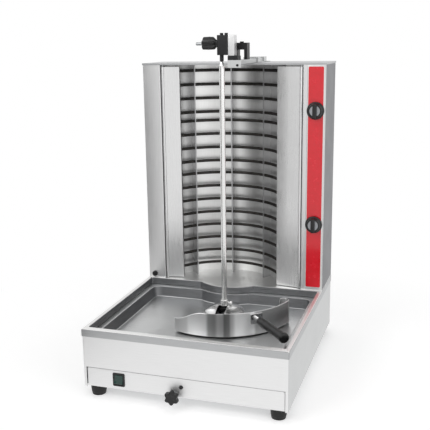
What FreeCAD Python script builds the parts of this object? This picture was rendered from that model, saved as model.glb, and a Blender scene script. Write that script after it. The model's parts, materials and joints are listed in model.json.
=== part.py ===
import FreeCAD, Part
import math
import os

# Countertop vertical broiler: a stainless base with a recessed catch pan, a rear heater
# housing with a curved reflector, and an upright driven spit held by a sliding top head.
# Millimetres. X to the right, Y to the back, Z up. The origin is on the floor under the
# middle of the base.

V = FreeCAD.Vector

# ------------------------------------------------------------------ overall sizes
base_width = 500.0
base_depth = 575.0
foot_height = 25.0
deck_top = 170.0
housing_depth = 153.0
housing_top = 770.0

# ------------------------------------------------------------------ sheet and clearances
shell_sheet = 1.5
housing_sheet = 1.2
pan_sheet = 1.2
running = 0.05          # radial clearance of a turning pin or shaft
sliding = 0.3           # gap between pieces that slide past each other
seat = 0.3              # gap under a loose piece that rests on its seat
panel_gap = 0.5

# ------------------------------------------------------------------ base
seam_height = 75.0
skirt_height = 17.0
rim_front = 18.0
rim_side = 12.0
rim_flange = 18.0
deck_ledge = 6.0
deck_nose_radius = 110.0
deck_nose_reach = 31.0
nose_ledge = 5.0
side_strip = 7.0
panel_inset = 2.0
panel_return = 10.0
panel_foot_gap = 0.5
bottom_upstand = 10.0
foot_radius = 19.5
foot_toe_radius = 17.0
foot_inset_x = 28.0
foot_inset_y = 24.0
stud_radius = 5.0
plug_radius = 7.5
gland_radius = 11.0
gland_reach = 26.0
gland_x = 150.0
gland_z = 100.0

# ------------------------------------------------------------------ catch pan
pan_flange_gap = 1.0
pan_depth = 29.0
pan_flange_visible = 15.0
pan_draft = 4.0
pan_corner = 24.0
pan_lip = 8.0
rail_leg = 14.0

# ------------------------------------------------------------------ spit and its drive
spit_to_housing = 100.0
spit_x = 6.0
spit_radius = 7.0
spit_point = 14.0
drive_travel = 25.0
shaft_radius = 9.0
socket_radius = 16.0
socket_height = 9.0
dome_radius = 50.0
dome_height = 20.0
dome_sheet = 2.0
dome_notch = 24.0
collar_radius = 10.0
collar_height = 14.0
rail_section = 12.0
rail_spacing = 90.0
carriage_sheet = 5.0
carriage_length = 110.0
gearbox_size = (86.0, 84.0, 40.0)
motor_radius = 24.0
motor_length = 62.0
pull_rod_radius = 4.0
pull_rod_x = -20.0
pull_rod_z = 32.0
bush_wall = 2.0
bush_length = 11.0
lock_knob_radius = 18.0
lock_knob_depth = 20.0
lock_knob_gap = 5.0

# ------------------------------------------------------------------ switch
switch_x = -159.0
switch_z = 50.5
switch_width = 30.0
switch_height = 33.0
bezel_proud = 2.5
rocker_tilt = 8.0
rocker_gap = 1.6

# ------------------------------------------------------------------ heater housing
wing_floor_gap = 2.0
lip_height = 5.0
wire_hole_radius = 12.0
wire_hole_inset = 26.0
wire_hole_depth = 75.5
left_strip = 51.0
strip_return = 45.0
column_width = 60.0
wing_gap = 5.0
knuckle_radius = 4.0
pin_radius = 2.0
pin_grip = 24.0
wing_hem = 6.0
wing_left_reach = 44.5
wing_right_reach = 64.5
wing_tip_depth = 9.3
wing_fold_reach = 34.5
wing_fold_depth = 4.8
flange_left = 29.85
flange_right = 50.85
reflector_setback = 36.5
reflector_depth = 89.0
rod_gap = 21.0
rod_radius = 4.0
rod_pitch = 37.7
bank_drops = (21.5, 158.5, 306.0, 456.0)
runs_per_bank = 4
rod_line_depth = 28.5
rod_return_arc = 15.0
rod_run_out = 12.0
blanket_thickness = 20.0
comb_angles = (56.0, 95.0, 134.0)
comb_sheet = 3.0
rib_gap = 0.2
facia_width = 45.0
facia_sheet = 2.0
facia_floor_gap = 6.0
facia_margin = 11.5
facia_top_gap = 1.5
control_knob_drops = (120.0, 418.0)
control_knob_radius = 22.5
control_knob_depth = 22.0
control_shaft_radius = 3.0

# ------------------------------------------------------------------ top head
arm_offset = 38.0
arm_width = 34.0
arm_height = 10.0
arm_lip_drop = 18.3
arm_back_gap = 20.0
guide_places = (35.5, 100.5)
guide_length = 26.0
arm_front_reach = 22.0
bridge_height = 41.0
block_height = 53.0
block_width = 27.0
block_depth = 32.0
clamp_knob_radius = 17.0
clamp_knob_length = 36.0
spindle_radius = 4.0

# ------------------------------------------------------------------ scoop
scoop_side_gap = 27.0
scoop_inner_arc = 86.0
scoop_start = -25.0
scoop_end = 78.0
scoop_height = 63.0
scoop_low_height = 38.0
scoop_slope_end = 0.0
scoop_sheet = 1.2
scoop_curl = 13.0
handle_angle = 41.5
handle_height = 46.0
grip_radius = 12.5
grip_reach = 20.0
grip_rim_gap = 2.2
grip_cap = 10.0
stem_depth = 24.0
stem_radius = 5.0

# ------------------------------------------------------------------ worked-out places
half_w = base_width / 2
front_y = -base_depth / 2
back_y = base_depth / 2
shell_half = half_w - shell_sheet
shell_front = front_y + shell_sheet
shell_back = back_y - shell_sheet
housing_front = back_y - housing_depth
spit_y = housing_front - spit_to_housing
deck_front = housing_front - deck_ledge
deck_under = deck_top - shell_sheet
opening_half = half_w - rim_side
opening_front = front_y + rim_front
flange_bottom = deck_top - rim_flange
pan_flange_top = flange_bottom - pan_flange_gap
pan_floor = pan_flange_top - pan_depth
strip_front = housing_front + housing_sheet
housing_half = half_w - housing_sheet
housing_bottom = deck_top
top_under = housing_top - housing_sheet
lip_bottom = housing_top - lip_height
wing_top = lip_bottom - wing_gap
column_left = half_w - column_width
facia_x = column_left + facia_margin + facia_width / 2
control_knob_heights = [housing_top - drop for drop in control_knob_drops]
bank_tops = [housing_top - drop for drop in bank_drops]
wire_hole = (column_left + wire_hole_inset, housing_front + wire_hole_depth)
knuckle_left = (-half_w + left_strip + knuckle_radius + 1.5, strip_front + knuckle_radius + 1.0)
knuckle_right = (column_left - knuckle_radius - 1.5, strip_front + knuckle_radius + 1.0)
reflector_left = -half_w + left_strip + flange_left
reflector_right = column_left - flange_right
reflector_span = (reflector_right - reflector_left) / 2
reflector_edge = housing_front + reflector_setback
reflector_arc = (reflector_span ** 2 + reflector_depth ** 2) / (2 * reflector_depth)
reflector_half_angle = math.degrees(math.atan2(reflector_span, reflector_arc - reflector_depth))
cavity_x = (reflector_left + reflector_right) / 2
deck_nose_y = deck_front - deck_nose_reach + deck_nose_radius
cavity_y = reflector_edge + reflector_depth - reflector_arc
rod_arc = reflector_arc - rod_gap
rod_line_y = housing_front + rod_line_depth
carriage_bottom = foot_height + shell_sheet + rail_section + sliding
carriage_top = carriage_bottom + carriage_sheet
gearbox_top = carriage_top + gearbox_size[2]
arm_bottom = housing_top + sliding
arm_top = arm_bottom + arm_height
arm_x = spit_x + arm_offset
arm_lip_bottom = arm_top - arm_lip_drop
spit_tip = arm_top
head_base = arm_top + 10.0
bridge_y = spit_y + 36.0
block_bottom = head_base + 2.0
block_left = spit_x - 8.0
knob_axis_z = block_bottom + 27.5
scoop_arc = opening_half - pan_flange_visible - pan_draft - spit_x - scoop_side_gap
grip_start = scoop_arc + grip_reach
grip_clear = grip_radius + grip_rim_gap
grip_to_side = (opening_half - spit_x - grip_clear) / math.sin(math.radians(handle_angle))
grip_to_front = (spit_y - opening_front - grip_clear) / math.cos(math.radians(handle_angle))
grip_end = min(grip_to_side, grip_to_front)


# ------------------------------------------------------------------ helpers
def box(x0, x1, y0, y1, z0, z1):
    """A block between two corners."""
    return Part.makeBox(x1 - x0, y1 - y0, z1 - z0, V(x0, y0, z0))


def rod(radius, start, direction, length):
    """A round bar from a point along a direction."""
    return Part.makeCylinder(radius, length, V(*start), V(*direction))


def joined(shapes):
    """Several solids fused to one, with leftover seams removed."""
    first, *rest = shapes
    return first.fuse(rest).removeSplitter() if rest else first


def prism(points, z0, z1):
    """A closed outline in plan, raised from z0 to z1."""
    ring = [V(x, y, z0) for x, y in points]
    face = Part.Face(Part.makePolygon(ring + ring[:1]))
    return face.extrude(V(0, 0, z1 - z0))


def rounded_wire(half_x, y0, y1, corner, z):
    """A rectangle with round corners, lying flat at height z."""
    cx, cy = half_x - corner, (y0 + corner, y1 - corner)
    centres = [(cx, cy[1], 0), (-cx, cy[1], 90), (-cx, cy[0], 180), (cx, cy[0], 270)]
    edges = []
    ends = []
    for x, y, turn in centres:
        at = [V(x + corner * math.cos(math.radians(turn + a)),
                y + corner * math.sin(math.radians(turn + a)), z) for a in (0, 45, 90)]
        ends.append((at[0], at[2]))
        edges.append(Part.Arc(*at).toShape())
    for k in range(4):
        edges.append(Part.LineSegment(ends[k][1], ends[(k + 1) % 4][0]).toShape())
    return Part.Wire(Part.__sortEdges__(edges))


def ring_sector(r_in, r_out, z0, z1, a0, a1, centre):
    """Part of a ring about a vertical axis, from angle a0 to a1 counted from +X."""
    span = a1 - a0
    outer = Part.makeCylinder(r_out, z1 - z0, V(centre[0], centre[1], z0), V(0, 0, 1), span)
    inner = Part.makeCylinder(r_in, z1 - z0, V(centre[0], centre[1], z0), V(0, 0, 1), span)
    sector = outer.cut(inner)
    sector.rotate(V(centre[0], centre[1], 0), V(0, 0, 1), a0)
    return sector


def bent_strip(points, thickness, z0, z1):
    """A folded sheet: a line of points in plan, thickened to its left and raised."""
    sides = []
    for (xa, ya), (xb, yb) in zip(points, points[1:]):
        run = math.hypot(xb - xa, yb - ya)
        nx, ny = -(yb - ya) / run * thickness, (xb - xa) / run * thickness
        sides.append(prism([(xa, ya), (xb, yb), (xb + nx, yb + ny), (xa + nx, ya + ny)], z0, z1))
    knots = [rod(thickness, (x, y, z0), (0, 0, 1), z1 - z0) for x, y in points[1:-1]]
    trimmed = []
    for k, knot in enumerate(knots):
        trimmed.append(knot.common(sides[k].fuse(sides[k + 1])))
    return joined(sides + trimmed)


def lobed_knob(radius, lobes, depth, start, direction):
    """A star knob: a round body with a ring of finger lobes, its axis along direction."""
    body = Part.makeCylinder(radius * 0.8, depth)
    lobe_r = radius * 0.3
    parts = [body]
    for k in range(lobes):
        a = 2 * math.pi * k / lobes
        at = V((radius - lobe_r) * math.cos(a), (radius - lobe_r) * math.sin(a), 0)
        parts.append(Part.makeCylinder(lobe_r, depth, at))
    knob = joined(parts)
    knob.Placement = FreeCAD.Placement(V(*start), FreeCAD.Rotation(V(0, 0, 1), V(*direction)))
    return knob


def slots(count, first, pitch, make):
    """A row of cutters, one per step."""
    return [make(first + k * pitch) for k in range(count)]


# ------------------------------------------------------------------ base pieces
def base_shell():
    """Front and side walls in one bent sheet, with a window for the lower front panel."""
    outer = box(-shell_half, shell_half, shell_front, shell_back, foot_height, deck_under)
    inner = box(-shell_half + shell_sheet, shell_half - shell_sheet,
                shell_front + shell_sheet, back_y, foot_height, deck_under)
    window = box(-shell_half + side_strip, shell_half - side_strip,
                 shell_front, shell_front + shell_sheet, foot_height, seam_height)
    return outer.cut([inner, window])


def base_bottom():
    """Bottom tray with upturned edges, vent slots and holes for the feet screws."""
    half = shell_half - shell_sheet
    y0 = shell_front + shell_sheet + panel_inset + panel_return
    y1 = shell_back - shell_sheet
    outer = box(-half, half, y0, y1, foot_height, foot_height + bottom_upstand)
    inner = box(-half + shell_sheet, half - shell_sheet, y0 + shell_sheet, y1 - shell_sheet,
                foot_height + shell_sheet, foot_height + bottom_upstand)
    vents = slots(7, 90.0, 14.0, lambda x: box(x, x + 5, 60, 160, foot_height, 60))
    notch = box(pull_rod_x - 9, pull_rod_x + 9, y0, y0 + shell_sheet,
                foot_height + shell_sheet, foot_height + bottom_upstand)
    return outer.cut([inner, notch] + vents)


def base_rear():
    """Rear wall between the side walls, with vents and the cable entry."""
    half = shell_half - shell_sheet
    wall = box(-half, half, shell_back - shell_sheet, shell_back, foot_height, deck_under)
    vents = slots(9, -160.0, 16.0, lambda x: box(x, x + 6, 0, back_y, 70, 130))
    entry = rod(gland_radius * 0.7 + running, (gland_x, 0, gland_z), (0, 1, 0), back_y)
    return wall.cut(vents + [entry])


def control_panel():
    """Lower front panel, set back a little, with returns along its top and bottom."""
    half = shell_half - side_strip - panel_gap
    y0 = shell_front + panel_inset
    z0 = foot_height + panel_foot_gap
    z1 = seam_height - panel_gap
    face = box(-half, half, y0, y0 + shell_sheet, z0, z1)
    top = box(-half, half, y0, y0 + panel_return, z1 - shell_sheet, z1)
    bottom = box(-half, half, y0, y0 + panel_return, z0, z0 + shell_sheet)
    hole = box(switch_x - switch_width / 2 + 1.5, switch_x + switch_width / 2 - 1.5, front_y, 0,
               switch_z - switch_height / 2 + 1.5, switch_z + switch_height / 2 - 1.5)
    bush = rod(pull_rod_radius + bush_wall, (pull_rod_x, front_y, pull_rod_z), (0, 1, 0), 40)
    return joined([face, top, bottom]).cut([hole, bush])


def pan_opening(grow, z0, z1):
    """Space of the opening over the pan, whose rear edge gives way to the deck's round nose."""
    space = box(-opening_half - grow, opening_half + grow, opening_front - grow, deck_front + grow, z0, z1)
    return space.cut(rod(deck_nose_radius - grow, (cavity_x, deck_nose_y, z0), (0, 0, 1), z1 - z0))


def deck_frame():
    """Top frame of the base: outer skirt, rim round the pan and the rear deck."""
    plate = box(-half_w, half_w, front_y, back_y, deck_under, deck_top)
    skirt = box(-half_w, half_w, front_y, back_y, deck_top - skirt_height, deck_under)
    skirt = skirt.cut(box(-shell_half, shell_half, shell_front, shell_back, 0, deck_top))
    rim = pan_opening(shell_sheet, flange_bottom, deck_under)
    hole = pan_opening(0, 0, deck_top)
    wires = rod(wire_hole_radius, (*wire_hole, 0), (0, 0, 1), deck_top)
    return joined([plate, skirt, rim]).cut([hole, wires])


def catch_pan():
    """Recessed pan with a flange, sloped walls and a drip-proof lip round the drive slot."""
    top_half = opening_half - pan_flange_visible
    y0 = opening_front + pan_flange_visible
    y1 = deck_front - pan_flange_visible
    low = pan_floor - pan_sheet

    def well(grow, z_top, z_low):
        upper = rounded_wire(top_half + grow, y0 - grow, y1 + grow, pan_corner + grow, z_top)
        lower = rounded_wire(top_half - pan_draft + grow, y0 + pan_draft - grow,
                             y1 - pan_draft + grow, pan_corner - pan_draft + grow, z_low)
        nose = deck_nose_radius + nose_ledge - grow
        cone = Part.makeCone(nose + pan_draft, nose, z_top - z_low, V(cavity_x, deck_nose_y, z_low))
        return Part.makeLoft([lower, upper], True, True).cut(cone)

    flange = box(-shell_half + shell_sheet + panel_gap, shell_half - shell_sheet - panel_gap,
                 shell_front + shell_sheet + panel_gap, deck_front + rail_leg,
                 pan_flange_top - pan_sheet, pan_flange_top)
    shell = joined([flange, well(pan_sheet, pan_flange_top, low)])
    shell = shell.cut(well(0, pan_flange_top, pan_floor))
    slot_half = shaft_radius + 2.0
    lip = drive_slot(slot_half + pan_sheet, low, pan_floor + pan_lip)
    return joined([shell, lip]).cut(drive_slot(slot_half, low - 5, pan_floor + pan_lip + 5))


def drive_slot(half, z0, z1):
    """The long round-ended space that the drive shaft travels in."""
    rear = rod(half, (spit_x, spit_y, z0), (0, 0, 1), z1 - z0)
    front = rod(half, (spit_x, spit_y - drive_travel, z0), (0, 0, 1), z1 - z0)
    return joined([rear, front, box(spit_x - half, spit_x + half, spit_y - drive_travel, spit_y, z0, z1)])


def pan_rails():
    """Two angle rails on the side walls that carry the pan flange."""
    x1 = shell_half - shell_sheet
    z1 = pan_flange_top - pan_sheet
    y0, y1 = opening_front, deck_front
    rails = []
    for side in (-1, 1):
        leg = sorted((side * x1, side * (x1 - rail_leg)))
        web = sorted((side * x1, side * (x1 - shell_sheet)))
        rails.append(joined([box(*leg, y0, y1, z1 - shell_sheet, z1),
                             box(*web, y0, y1, z1 - rail_leg, z1)]))
    return Part.makeCompound(rails)


def foot_places():
    """The four corners where the feet stand."""
    return [(side_x * (half_w - foot_inset_x), side_y * (back_y - foot_inset_y))
            for side_x in (-1, 1) for side_y in (-1, 1)]


def feet():
    """Four rubber feet, wider at the top."""
    return Part.makeCompound([Part.makeCone(foot_toe_radius, foot_radius, foot_height, V(*at, 0))
                              for at in foot_places()])


def body_screws():
    """Feet screws, a domed screw beside the pull rod and a plug low on the left strip."""
    heads = [rod(6, (*at, foot_height + shell_sheet), (0, 0, 1), 4) for at in foot_places()]
    y0 = shell_front + panel_inset
    ball = Part.makeSphere(stud_radius, V(pull_rod_x + 17, y0, pull_rod_z + 20))
    heads.append(ball.common(box(-half_w, half_w, front_y - 20, y0, 0, deck_top)))
    heads.append(rod(plug_radius, (-half_w + 19, strip_front, deck_top + 10), (0, -1, 0), 4))
    return Part.makeCompound(heads)


def cable_gland():
    """Rear cable entry with its lock nut and an open bore."""
    out = rod(gland_radius, (gland_x, shell_back, gland_z), (0, 1, 0), gland_reach)
    neck = rod(gland_radius * 0.7, (gland_x, shell_back - 12, gland_z), (0, 1, 0), 12)
    nut = rod(gland_radius, (gland_x, shell_back - 8, gland_z), (0, 1, 0), 8 - shell_sheet)
    bore = rod(4.5, (gland_x, 0, gland_z), (0, 1, 0), back_y + 100)
    return joined([out, neck, nut]).cut(bore)


# ------------------------------------------------------------------ drive pieces
def carriage_rails():
    """Two bars on the bottom tray that the drive carriage slides on."""
    z0 = foot_height + shell_sheet
    y0, y1 = spit_y - carriage_length / 2 - drive_travel - 10, spit_y + carriage_length / 2 + 10
    bars = []
    for side in (-1, 1):
        x = spit_x + side * rail_spacing / 2
        bars.append(box(x - rail_section / 2, x + rail_section / 2, y0, y1, z0, z0 + rail_section))
    return Part.makeCompound(bars)


def drive_carriage():
    """Sliding plate with lips that hook over the outside of the rails."""
    half = rail_spacing / 2 + rail_section / 2 + sliding
    y0, y1 = spit_y - carriage_length / 2, spit_y + carriage_length / 2
    plate = box(spit_x - half - 4, spit_x + half + 4, y0, y1, carriage_bottom, carriage_top)
    lips = [box(*sorted((spit_x + side * half, spit_x + side * (half + 4))), y0, y1,
                carriage_bottom - 8, carriage_top)
            for side in (-1, 1)]
    tab = box(pull_rod_x - 9, pull_rod_x + 9, y0 - 4, y0,
              foot_height + shell_sheet + sliding, carriage_top)
    return joined([plate, tab] + lips)


def gearbox():
    """Reduction gearbox with a bearing boss on top."""
    wide, deep, tall = gearbox_size
    case = box(spit_x - wide / 2, spit_x + wide / 2, spit_y - deep / 2, spit_y + deep / 2,
               carriage_top, gearbox_top)
    case = case.makeFillet(4, [e for e in case.Edges if abs(e.tangentAt(0).z) > 0.9])
    boss = rod(shaft_radius + 7, (spit_x, spit_y, gearbox_top), (0, 0, 1), 10)
    bore = rod(shaft_radius + running, (spit_x, spit_y, gearbox_top - 20), (0, 0, 1), 40)
    return joined([case, boss]).cut(bore)


def drive_motor():
    """Motor can behind the gearbox, with an end cap."""
    z = carriage_top + motor_radius + 1
    y0 = spit_y + gearbox_size[1] / 2
    can = rod(motor_radius, (spit_x, y0, z), (0, 1, 0), motor_length)
    cap = rod(motor_radius - 5, (spit_x, y0 + motor_length, z), (0, 1, 0), 8)
    return joined([can, cap])


def drive_shaft():
    """Output shaft from the gearbox up through the pan slot, ending under the socket."""
    z0 = gearbox_top - 19.5
    return rod(shaft_radius, (spit_x, spit_y, z0), (0, 0, 1), pan_floor + 2 - z0)


def drive_socket():
    """Dark socket on the shaft, which the foot of the spit drops into."""
    z0 = pan_floor + 2
    z1 = pan_floor + pan_lip + 1 + socket_height
    low = rod(shaft_radius, (spit_x, spit_y, z0), (0, 0, 1), z1 - z0)
    disc = rod(socket_radius, (spit_x, spit_y, pan_floor + pan_lip + 1), (0, 0, 1), socket_height - 3)
    bore = rod(spit_radius, (spit_x, spit_y, z0 + 3), (0, 0, 1), 60)
    return joined([low, disc]).cut(bore)


def hub_dome():
    """Shallow dome that covers the pan slot, with a notch at the front for the spit's foot."""
    def cap(radius, height, z):
        ball = (radius ** 2 + height ** 2) / (2 * height)
        sphere = Part.makeSphere(ball, V(spit_x, spit_y, z + height - ball))
        keep = rod(radius + 1, (spit_x, spit_y, z), (0, 0, 1), height + 1)
        return sphere.common(keep)
    z0 = pan_floor + 1
    skirt_z = z0 + 5
    outer = joined([cap(dome_radius, dome_height - 5, skirt_z),
                    rod(dome_radius, (spit_x, spit_y, z0), (0, 0, 1), 5)])
    inner_r = dome_radius - dome_sheet
    inner = joined([cap(inner_r, dome_height - 5 - dome_sheet, skirt_z),
                    rod(inner_r, (spit_x, spit_y, z0), (0, 0, 1), 5)])
    hole = rod(spit_radius, (spit_x, spit_y, z0), (0, 0, 1), 60)
    notch = box(spit_x - dome_notch / 2, spit_x + dome_notch / 2, spit_y - dome_radius - 1,
                spit_y - collar_radius - 2, z0 + 3, z0 + 60)
    return outer.cut([inner, hole, notch])


def spit_rod():
    """The upright spit with a pointed tip."""
    z0 = pan_floor + 5
    bar = rod(spit_radius, (spit_x, spit_y, z0), (0, 0, 1), spit_tip - spit_point - z0)
    tip = Part.makeCone(spit_radius, 1.5, spit_point, V(spit_x, spit_y, spit_tip - spit_point))
    return joined([bar, tip])


def spit_collar():
    """Collar clamped on the spit just above the dome."""
    z0 = pan_floor + 1 + dome_height
    ring = rod(collar_radius, (spit_x, spit_y, z0), (0, 0, 1), collar_height)
    return ring.cut(rod(spit_radius, (spit_x, spit_y, z0), (0, 0, 1), collar_height))


def collar_screw():
    """Clamp screw standing out of the collar."""
    z = pan_floor + 1 + dome_height + collar_height / 2
    return joined([rod(3, (spit_x + collar_radius, spit_y, z), (1, 0, 0), 6),
                   rod(5, (spit_x + collar_radius + 6, spit_y, z), (1, 0, 0), 6)])


def pull_rod():
    """Rod from the carriage tab out through the lower front panel."""
    y0 = shell_front + panel_inset - lock_knob_gap - lock_knob_depth + 6
    y1 = spit_y - carriage_length / 2 - 4
    return rod(pull_rod_radius, (pull_rod_x, y0, pull_rod_z), (0, 1, 0), y1 - y0)


def pull_rod_bush():
    """Round guide in the panel that the pull rod slides through."""
    y0 = shell_front + panel_inset
    start = (pull_rod_x, y0, pull_rod_z)
    sleeve = rod(pull_rod_radius + bush_wall, start, (0, 1, 0), bush_length)
    collar = rod(pull_rod_radius + bush_wall + 1.5, start, (0, -1, 0), 1.5)
    bore = rod(pull_rod_radius + running, (pull_rod_x, front_y, pull_rod_z), (0, 1, 0), 40)
    return joined([sleeve, collar]).cut(bore)


def lock_knob():
    """Star knob on the front end of the pull rod."""
    y0 = shell_front + panel_inset - lock_knob_gap
    knob = lobed_knob(lock_knob_radius, 6, lock_knob_depth,
                      (pull_rod_x, y0, pull_rod_z), (0, -1, 0))
    rod_end = y0 - lock_knob_depth + 6
    bore = rod(pull_rod_radius + running, (pull_rod_x, rod_end, pull_rod_z), (0, 1, 0), 40)
    return knob.cut(bore)


# ------------------------------------------------------------------ rocker switch
def switch_bezel():
    """Frame and body of the rocker switch, open at the front."""
    y0 = shell_front + panel_inset
    half_x, half_z = switch_width / 2, switch_height / 2
    frame = box(switch_x - half_x, switch_x + half_x, y0 - bezel_proud, y0,
                switch_z - half_z, switch_z + half_z)
    body = box(switch_x - half_x + 2, switch_x + half_x - 2, y0, y0 + 24,
               switch_z - half_z + 2, switch_z + half_z - 2)
    well = box(switch_x - half_x + 4, switch_x + half_x - 4, y0 - bezel_proud, y0 + 14,
               switch_z - half_z + 4, switch_z + half_z - 4)
    return joined([frame, body]).cut(well)


def switch_rocker():
    """Lit rocker that tips about a level axis, shown tipped to one side."""
    y0 = shell_front + panel_inset
    half_x = switch_width / 2 - 4 - sliding
    half_z = switch_height / 2 - 4 - rocker_gap
    key = box(switch_x - half_x, switch_x + half_x, y0 - bezel_proud - 1.5, y0 + 4,
              switch_z - half_z, switch_z + half_z)
    axle_y = y0 + 5.0
    stem = box(switch_x - half_x, switch_x + half_x, y0 + 3, axle_y + 3, switch_z - 3, switch_z + 3)
    key = joined([key, stem])
    key.rotate(V(switch_x, axle_y, switch_z), V(1, 0, 0), -rocker_tilt)
    return key


# ------------------------------------------------------------------ housing pieces
def housing_side_left():
    """Left side wall with the front strip and its short return."""
    x0, x1 = -housing_half, -half_w + left_strip
    wall = box(x0, x0 + housing_sheet, strip_front, back_y - housing_sheet,
               housing_bottom, top_under)
    strip = box(x0, x1, strip_front, strip_front + housing_sheet, housing_bottom, top_under)
    back = box(x1 - housing_sheet, x1, strip_front, strip_front + strip_return,
               housing_bottom, top_under)
    floor = box(x0, x1, strip_front, back_y - 2 * housing_sheet,
                housing_bottom, housing_bottom + housing_sheet)
    return joined([wall, strip, back, floor])


def housing_side_right():
    """Right side wall."""
    x1 = housing_half
    wall = box(x1 - housing_sheet, x1, strip_front + housing_sheet, back_y - housing_sheet,
               housing_bottom, top_under)
    floor = box(column_left + 2, x1, strip_front + housing_sheet, back_y - 2 * housing_sheet,
                housing_bottom, housing_bottom + housing_sheet)
    wires = rod(wire_hole_radius, (*wire_hole, 0), (0, 0, 1), housing_top)
    return joined([wall, floor]).cut(wires)


def control_column():
    """Front and inner wall of the right-hand column, with holes for the control shafts."""
    x0, x1 = column_left, housing_half
    face = box(x0, x1, strip_front, strip_front + housing_sheet, housing_bottom, top_under)
    wall = box(x0, x0 + housing_sheet, strip_front, strip_front + 60, housing_bottom, top_under)
    holes = [rod(6, (facia_x, 0, z), (0, 1, 0), back_y) for z in control_knob_heights]
    return joined([face, wall]).cut(holes)


def red_facia():
    """Coloured strip on the column's front."""
    x = facia_x
    z0 = deck_top + facia_floor_gap
    z1 = lip_bottom - facia_top_gap
    strip = box(x - facia_width / 2, x + facia_width / 2, strip_front - facia_sheet, strip_front,
                z0, z1)
    strip = strip.makeFillet(1.2, [e for e in strip.Edges
                                   if e.BoundBox.YMax < strip_front - facia_sheet + 0.01])
    holes = [rod(6, (x, 0, z), (0, 1, 0), back_y) for z in control_knob_heights]
    return strip.cut(holes)


def regulator(z):
    """Energy regulator behind the column face, with its threaded neck."""
    x = facia_x
    y0 = strip_front + housing_sheet
    body = box(x - 20, x + 20, y0, y0 + 40, z - 22, z + 22)
    neck = rod(5.5, (x, y0 - housing_sheet - facia_sheet, z), (0, 1, 0), housing_sheet + facia_sheet)
    bore = rod(control_shaft_radius + running, (x, 0, z), (0, 1, 0), y0 + 16)
    return joined([body, neck]).cut(bore)


def control_knob(z):
    """Round control knob with a finger bar across it and its shaft behind."""
    x = facia_x
    y1 = strip_front - facia_sheet - 1.0
    skirt = rod(control_knob_radius, (x, y1, z), (0, -1, 0), 6)
    body = Part.makeCone(control_knob_radius - 3, control_knob_radius - 5, 8,
                         V(x, y1 - 6, z), V(0, -1, 0))
    bar = box(x - 5, x + 5, y1 - control_knob_depth, y1 - 6,
              z - control_knob_radius + 4, z + control_knob_radius - 4)
    shaft = rod(control_shaft_radius, (x, y1, z), (0, 1, 0), 14)
    return joined([skirt, body, bar, shaft])


def housing_back():
    """Rear wall with rows of vents."""
    wall = box(-housing_half + housing_sheet, housing_half - housing_sheet,
               back_y - 2 * housing_sheet, back_y - housing_sheet, housing_bottom, top_under)
    vents = []
    for z in (deck_top + 60, housing_top - 70):
        vents += slots(11, -150.0, 28.0, lambda x: box(x, x + 18, 0, back_y, z, z + 5))
    return wall.cut(vents)


def housing_lid():
    """Top cover with turned-down edges and vents."""
    outer = box(-half_w, half_w, housing_front, back_y, lip_bottom, housing_top)
    inner = box(-housing_half, housing_half, strip_front, back_y - housing_sheet,
                lip_bottom, top_under)
    y0 = housing_front + 90
    vents = slots(10, -half_w + 35, 20.0, lambda x: box(x, x + 6, y0, y0 + 40, lip_bottom, housing_top))
    return outer.cut([inner] + vents)


def reflector():
    """Curved polished sheet behind the heater rods, with a flange at each end."""
    a0, a1 = 90 - reflector_half_angle, 90 + reflector_half_angle
    z0, z1 = deck_top, top_under
    arc = ring_sector(reflector_arc, reflector_arc + 1, z0, z1, a0, a1, (cavity_x, cavity_y))
    limits = ((-1, -half_w + left_strip + panel_gap), (1, column_left - panel_gap))
    flanges = []
    for side, limit in limits:
        x_end = cavity_x + side * reflector_span
        across = sorted((x_end + side * -0.6, limit))
        flanges.append(box(*across, reflector_edge, reflector_edge + 1, z0, z1))
    return joined([arc] + flanges)


def insulation_blanket():
    """Mineral wool behind the reflector."""
    lift = 2.0
    half_angle = reflector_half_angle - 10
    return ring_sector(reflector_arc + 2, reflector_arc + 2 + blanket_thickness,
                       housing_bottom + lift, top_under - lift,
                       90 - half_angle, 90 + half_angle, (cavity_x, cavity_y))


def run_heights(bank):
    """Heights of one bank's rods, from the top down."""
    return [bank_tops[bank] - k * rod_pitch for k in range(runs_per_bank)]


def bank_ends():
    """Half-width where the rods turn level, and where they leave the main arc."""
    rise = rod_line_y + rod_return_arc - cavity_y
    reach = math.sqrt((rod_arc + rod_return_arc) ** 2 - rise ** 2)
    share = rod_arc / (rod_arc + rod_return_arc)
    return reach, reach * share, rise * share


def tube(edges, radius):
    """A round tube along edges that join smoothly."""
    pieces = []
    for edge in edges:
        start = edge.valueAt(edge.FirstParameter)
        along = edge.tangentAt(edge.FirstParameter)
        ring = Part.Wire(Part.makeCircle(radius, start, along))
        pieces.append(Part.Wire([edge]).makePipeShell([ring], True, False))
    return joined(pieces)


def heater_run(z):
    """Edges of one rod: level end, reverse bend, main arc, reverse bend, level end."""
    reach, off_x, off_y = bank_ends()
    half_turn = math.atan2(reach - off_x, rod_return_arc - (cavity_y + off_y - rod_line_y)) / 2
    edges = []
    for side in (-1, 1):
        level = V(cavity_x + side * reach, rod_line_y, z)
        mid = V(level.x - side * rod_return_arc * math.sin(half_turn),
                rod_line_y + rod_return_arc * (1 - math.cos(half_turn)), z)
        off = V(cavity_x + side * off_x, cavity_y + off_y, z)
        edges.append(Part.LineSegment(level + V(side * rod_run_out, 0, 0), level).toShape())
        edges.append(Part.Arc(level, mid, off).toShape())
    edges.append(Part.Arc(V(cavity_x - off_x, cavity_y + off_y, z),
                          V(cavity_x, cavity_y + rod_arc, z),
                          V(cavity_x + off_x, cavity_y + off_y, z)).toShape())
    return edges


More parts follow.
